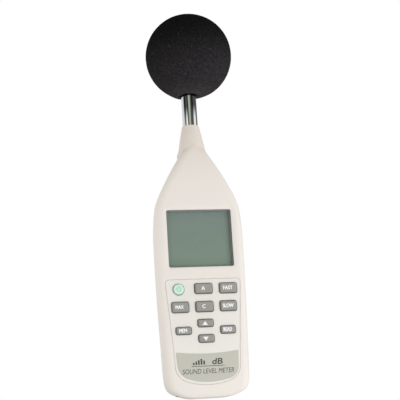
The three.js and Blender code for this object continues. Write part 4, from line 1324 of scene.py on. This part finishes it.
# a triangle pressed into the door, pointing down
door = cut(door, stack(inset_tiers([(0.0, 36.6), (2.6, 39.6), (-2.6, 39.6)], 0, [
    (0.15, 11.95), (0, 12.15), (-0.2, 12.34), (-0.2, 13)])))
finish(door, "battery_door", "case_plastic", 30)


# ---------------------------------------------------------------- screws, insert, rating label
def case_screw(x, z):
    head = [(0, 5.7), (2.3, 5.7), (2.4, 5.8), (2.4, 6.5), (2.3, 6.85), (2.05, 7.12),
            (1.6, 7.32), (0.9, 7.39), (0, 7.4)]
    thread = [(0, -6.6), (0.35, -6.6), (0.8, -5.9)]
    for y in np.arange(-5.7, 5.4, 0.62):
        thread += [(0.82, y), (1.0, y + 0.22), (0.82, y + 0.44)]
    thread += [(0.9, 5.75), (0, 5.75)]
    screw = join(lathe(head, 64, "Y", (x, 0, z)), lathe(thread, 32, "Y", (x, 0, z)))
    for turn in (0, 90):  # cross recess
        c, s = math.cos(math.radians(turn)), math.sin(math.radians(turn))

        def arm(width, height, radius):
            return [(x + px * c - pz * s, z + px * s + pz * c)
                    for px, pz in round_rect(0, 0, width, height, radius, 3)]

        mouth = arm(2.7, 0.62, 0.12)
        screw = cut(screw, stack([(arm(1.6, 0.5, 0.1), 6.35), (mouth, 7.2), (mouth, 8)]))
    return screw


screws = [finish(case_screw(x, z), "screw_%d" % (i + 1), "spring_steel", 30)
          for i, (x, z) in enumerate(SCREWS)]

# (radius, y) up the outside, then down the threaded bore
profile = [(0, 4.3), (4.15, 4.3), (4.4, 4.5), (4.4, 5.4), (4.15, 5.6), (4.15, 6.4), (4.4, 6.6),
           (4.4, 11.95), (4.2, 12.2), (3.1, 12.2), (2.85, 11.95)]
for y in np.arange(11.6, 6.1, -0.8):
    profile += [(2.78, y), (3.05, y - 0.32), (2.78, y - 0.64)]
profile += [(2.75, 5.3), (0, 5.3)]
insert = finish(lathe(profile, 72, "Y", (0, 0, TRIPOD_Z)), "tripod_nut", "brass", 28)

plate_outline = rating_outline(41.2, 23.2, 1.7)
rating_plate = stack([(plate_outline, 12.03), (plate_outline, 12.19),
                      (rating_outline(40.9, 22.9, 1.6), 12.25)])
finish(rating_plate, "rating_plate", "foil_label", 40)
PRINT_Y0, PRINT_Y1 = 12.23, 12.27
border = cut(prism(rating_outline(38.6, 20.6, 1.2), PRINT_Y0, PRINT_Y1),
             prism(rating_outline(38.1, 20.1, 1.0), 12.0, 12.5))
rules = [prism(round_rect(0, 134.6 - i * 4.6, 32.0, 0.25, 0.1, 2), PRINT_Y0, PRINT_Y1)
         for i in range(3)]
rating_print = joined("rating_print", [paint(line, "ink_dark") for line in [border] + rules])


# ---------------------------------------------------------------- side sockets and trimmer
def socket(name, z, block_y1, outer, bore, end_x, pin=None):
    """A block with a barrel; inside is a pin of a given radius, or else a contact ring."""
    middle = (BOARD_BACK_Y + 0.05 + block_y1) / 2
    base = round_rect(middle, z, block_y1 - BOARD_BACK_Y - 0.05, 10, 0.6, 4)
    body = join(
        loft([[(x, y, z) for y, z in base] for x in (20, 29.6)]),
        side_lathe([(0, 29), (outer, 29), (outer, end_x - 0.25), (outer - 0.22, end_x),
                    (0, end_x)], 72, z),
    )
    body = cut(body, side_lathe([
        (0, 25), (bore, 25), (bore, end_x - 0.35), (bore + 0.32, end_x + 0.02),
        (bore + 0.32, 37), (0, 37)], 64, z))
    shade(paint(body, "black_plastic"), 30)
    if pin:
        contact = side_lathe([(0, 24.0), (pin, 24.0), (pin, 31.9), (pin * 0.8, 32.2),
                              (pin * 0.4, 32.38), (0, 32.4)], 40, z)
    else:
        contact = side_lathe([(bore - 0.02, 27.0), (bore - 0.25, 27.0), (bore - 0.25, 31.9),
                              (bore - 0.02, 32.1), (bore - 0.02, 27.0)], 56, z)
    return joined(name, [body, shade(paint(contact, "spring_steel"), 40)])


signal_socket = socket("signal_socket", SIGNAL_Z, block_y1=7.6, outer=3.0, bore=1.8, end_x=32.9)
supply_socket = socket("supply_socket", SUPPLY_Z, block_y1=8.2, outer=3.5, bore=2.75,
                       end_x=33.1, pin=0.9)
trimmer = side_lathe([(0, 28.0), (1.4, 28.0), (1.5, 28.1), (1.5, 32.55), (1.25, 32.8),
                      (0, 32.8)], 56, TRIMMER_Z)
trimmer = cut(trimmer, block(32.1, 34, SIDE_Y - 0.28, SIDE_Y + 0.28, 104, 108))
finish(trimmer, "trimmer", "brass", 30)

MARK_Y = -1.25
side_marks = []
for body, z, width in (("OUT", SIGNAL_Z, 3.2), ("DC 6V", SUPPLY_Z, 3.6), ("CAL", TRIMMER_Z, 3.1)):
    flat_x = side_x(MARK_Y, z)
    mark = lettering(body, MARK_Y, z, width, 1.35, flat_x - 0.005, 0.03, "ink_grey",
                     bold=0.01, face="right")
    for vertex in mark.data.vertices:  # follow the curve of the side
        vertex.co.x += (side_x(vertex.co.y / MM, vertex.co.z / MM) - flat_x) * MM
    side_marks.append(mark)
side_print = joined("side_print", side_marks)

# ---------------------------------------------------------------- cells and springs
# radius, height from the minus end
CELL_PROFILE = [
    (0, 0), (3.6, 0), (3.7, 0.12), (4.5, 0.12), (4.6, 0.0), (4.95, 0.0), (CELL_R - 0.05, 0.15),
    (CELL_R, 0.35), (CELL_R, 42.7), (CELL_R - 0.1, 43.05), (CELL_R - 0.45, 43.3),
    (CELL_R - 0.75, 43.3), (CELL_R - 0.9, 43.1), (3.0, 43.1), (2.6, 43.25), (2.3, 43.5),
    (1.9, 43.55), (1.9, 44.3), (1.75, 44.47), (1.5, 44.5), (0, 44.5),
]


def battery_cell(name, x, base_z, plus_up):
    profile = CELL_PROFILE
    if not plus_up:
        profile = [(radius, CELL_LENGTH - h) for radius, h in profile][::-1]
    cell = lathe([(radius, base_z + h) for radius, h in profile], 72, "Z", (x, CELL_Y, 0))
    finish(cell, name, "cell_jacket", 30)
    cell.data.materials.append(MATERIALS["spring_steel"])
    cell.data.materials.append(MATERIALS["brass"])
    for face in cell.data.polygons:
        height = face.center.z / MM - base_z
        height = height if plus_up else CELL_LENGTH - height
        radius = math.hypot(face.center.x / MM - x, face.center.y / MM - CELL_Y)
        if height > 42.95 or height < 0.2 or radius < CELL_R - 0.35:
            face.material_index = 1  # bare steel ends
        else:
            face.material_index = 2 if height > 34.5 else 0  # brass band at the plus end
    return cell


def coil(x, y, z0, z1, turns=3, r0=3.6, r1=2.6, wire=0.35):
    """A tapering spring from z0 to z1."""
    count = turns * 28
    up = np.array([0.0, 0.0, 1.0])
    loops = []
    for i in range(count + 1):
        t = i / count
        a = t * turns * 2 * math.pi
        radius = r0 + (r1 - r0) * t
        centre = np.array([x + radius * math.cos(a), y + radius * math.sin(a), z0 + (z1 - z0) * t])
        radial = np.array([math.cos(a), math.sin(a), 0.0])
        loops.append([centre + wire * (radial * math.cos(b) + up * math.sin(b))
                      for b in np.linspace(0, 2 * math.pi, 12, endpoint=False)])
    return loft(loops)


cells, springs = [], []
for i in range(4):
    plus_up, x = i % 2 == 0, (i - 1.5) * CELL_PITCH
    base_z = BAY_Z0 + (5.2 if plus_up else 2.3)
    cells.append(battery_cell("cell_%d" % (i + 1), x, base_z, plus_up))
    if plus_up:
        spring = coil(x, CELL_Y, BAY_Z0 + 0.95, BAY_Z0 + 4.7)
    else:
        spring = coil(x, CELL_Y, BAY_Z1 - 0.95, BAY_Z1 - 4.7)
    springs.append(finish(spring, "spring_%d" % (i + 1), "spring_steel", 50, weighted=False))


def stands(obj, node, body="meter_body"):
    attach(obj, body)
    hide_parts(node)


def also(obj):
    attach(obj, "meter_body")


stands(front, "front_case")
stands(rear, "rear_case")
stands(fascia, "keypad_fascia")
stands(name_plate, "name_label")
also(label_print)
for name, obj in key_objects.items():
    stands(obj, name, name)
stands(lens, "lcd_window")
stands(surround, "lcd_gasket")
stands(glass, "lcd_glass")
also(ghost_print)
stands(stem, "stem_tube")
stands(capsule, "mic_body")
stands(grid, "mic_grid")
stands(ball, "windscreen", "windscreen")
stands(door, "battery_cover", "battery_cover")
for i, obj in enumerate(screws):
    stands(obj, "case_screw_%d" % (i + 1))
stands(insert, "tripod_insert")
stands(rating_plate, "rating_label")
also(rating_print)
stands(signal_socket, "output_jack")
stands(supply_socket, "dc_jack")
stands(trimmer, "cal_trimmer_screw", "cal_trimmer_screw")
also(side_print)
for i in range(4):
    stands(cells[i], "battery_cell_%d" % (i + 1))
    stands(springs[i], "contact_spring_%d" % (i + 1))


# ---------------------------------------------------------------- floor
def floor_material():
    """Pale floor that fades into white away from the object, unseen from below."""
    mat = Material("floor")
    cloud = mat.noise(180, rough=0.5)
    surface = mat.principled(
        Base_Color=mat.mix(cloud, (0.80, 0.80, 0.79), (0.84, 0.84, 0.83)),
        Roughness=mat.span(mat.noise(2.0), 0.55, 0.7),
        Normal=mat.bump(mat.noise(1.1, detail=4.0), strength=0.15, depth=0.05),
    )
    geometry, ray = mat.add("NewGeometry").outputs, mat.add("LightPath").outputs
    away = mat.add("VectorMath", {0: geometry["Position"]}, operation="LENGTH")
    fade = mat.fade(away.outputs["Value"], 120, 1100)
    fade = mat.math("MULTIPLY", fade, ray["Is Camera Ray"])
    cove = mat.mix_shader(fade, surface, mat.add("Emission").outputs[0])
    unseen = mat.math("MAXIMUM", geometry["Backfacing"], ray["Is Shadow Ray"])
    clear = mat.add("BsdfTransparent").outputs[0]
    return mat.finish(mat.mix_shader(unseen, cove, clear))


HALF_FLOOR, FLOOR_Z = 12.0, -0.0004  # metres
floor_mesh = bpy.data.meshes.new("studio_floor")
floor_mesh.from_pydata([(x * HALF_FLOOR, y * HALF_FLOOR, FLOOR_Z)
                        for x, y in ((-1, -1), (1, -1), (1, 1), (-1, 1))], [], [(0, 1, 2, 3)])
floor = linked(floor_mesh, "studio_floor")
floor.data.materials.append(floor_material())
floor.visible_diffuse = False


# ---------------------------------------------------------------- camera
def direction(azimuth, elevation):
    """Degrees; azimuth 0 is in front of the face (-Y), +90 is +X."""
    a, e = math.radians(azimuth), math.radians(elevation)
    return Vector((math.sin(a) * math.cos(e), -math.cos(a) * math.cos(e), math.sin(e)))


TARGET = Vector((0, 0, 150))
CAMERA_DISTANCE = 775.9
CAMERA_ROLL = -3.50  # degrees
away = direction(-11.75, -12.49)
camera_data = bpy.data.cameras.new("camera")
camera_data.lens, camera_data.sensor_width = 88.5, 36
camera_data.shift_x, camera_data.shift_y = 0.0123, 0.0127
camera_data.clip_start, camera_data.clip_end = 0.01, 50
camera = linked(camera_data, "camera")
camera.location = (TARGET + away * CAMERA_DISTANCE) * MM
camera.rotation_mode = "QUATERNION"
roll = Matrix.Rotation(math.radians(CAMERA_ROLL), 3, "Z").to_quaternion()
camera.rotation_quaternion = (-away).to_track_quat("-Z", "Y") @ roll
SCENE.camera = camera


# ---------------------------------------------------------------- lights
def square_light(name, azimuth, elevation, distance, size, power, colour, aim_z):
    """Lengths in metres; the light looks at a point on the Z axis."""
    data = bpy.data.lights.new(name, "AREA")
    data.shape, data.size, data.size_y = "RECTANGLE", size, size
    data.energy, data.color = power, colour
    lamp = linked(data, name)
    aim = Vector((0, 0, aim_z))
    place = aim + direction(azimuth, elevation) * distance
    lamp.location = place
    lamp.rotation_euler = (aim - place).to_track_quat("-Z", "Y").to_euler()
    return lamp


key_light = square_light("key_light", azimuth=33, elevation=-14, distance=0.66, size=0.42,
                         power=1.64, colour=(0.972, 0.988, 1.03), aim_z=0.07)
fill_light = square_light("fill_light", azimuth=-86, elevation=0, distance=0.24, size=0.10,
                          power=0.10, colour=(1.0, 0.955, 0.955), aim_z=0.108)
rim_light = square_light("rim_light", azimuth=88, elevation=0, distance=0.6, size=0.4,
                         power=0.30, colour=(0.94, 0.98, 1.05), aim_z=0.10)
fill_light.visible_glossy = rim_light.visible_glossy = False
# the lamps leave the floor alone
unlit = bpy.data.collections.new("not_lit_by_lamps")
unlit.objects.link(floor)
for lamp in (key_light, fill_light, rim_light):
    lamp.light_linking.receiver_collection = unlit
    lamp.visible_camera = False
unlit.collection_objects[0].light_linking.link_state = "EXCLUDE"

# ---------------------------------------------------------------- world
# what reflections see, (degrees of azimuth as in direction(), grey or colour)
STUDIO_BANDS = [
    (-180, (0.74, 0.74, 0.77)), (-112, (0.74, 0.74, 0.77)), (-94, (0.50, 0.50, 0.52)),
    (-82, (0.07, 0.07, 0.075)), (-70, (0.16, 0.165, 0.17)), (-61, (0.97, 0.98, 0.95)),
    (-47, (0.97, 0.98, 0.95)), (-37, (0.10, 0.11, 0.09)), (-26, (0.08, 0.09, 0.075)),
    (-16, (0.44, 0.47, 0.40)), (0, (0.44, 0.47, 0.40)), (11, (0.08, 0.09, 0.075)),
    (36, (0.08, 0.09, 0.075)), (50, (0.24, 0.26, 0.25)), (58, 0.95), (84, 0.95),
    (98, (0.20, 0.21, 0.21)), (112, (0.09, 0.095, 0.095)), (126, (0.12, 0.12, 0.12)),
    (148, 0.70), (180, (0.74, 0.74, 0.77)),
]
world = bpy.data.worlds.new("studio")
SCENE.world = world
sky = NodeTree(world)


def background(colour, strength):
    return sky.add("Background", {0: colour, 1: strength}).outputs[0]


xyz = sky.add("SeparateXYZ", {0: sky.add("TexCoord").outputs["Generated"]}).outputs
forward = sky.add("Math", {0: xyz["Y"], 1: -1.0}, operation="MULTIPLY").outputs[0]
azimuth = sky.add("Math", {0: xyz["X"], 1: forward}, operation="ARCTAN2").outputs[0]
bands = sky.ramp(sky.map_range(azimuth, -math.pi, math.pi),
                 [((degrees + 180) / 360, colour) for degrees, colour in STUDIO_BANDS])
ray = sky.add("LightPath").outputs
soft = background((0.985, 0.984, 0.997), 0.672)
lighting = sky.mix_shader(ray["Is Glossy Ray"], soft, background(bands, 1.0))
white = background((1, 1, 1), 1.0)
sky.add("OutputWorld", {0: sky.mix_shader(ray["Is Camera Ray"], lighting, white)})

SCENE.view_settings.view_transform = "Standard"
SCENE.view_settings.look = "None"
SCENE.view_settings.exposure = 0.0
SCENE.view_settings.gamma = 1.0
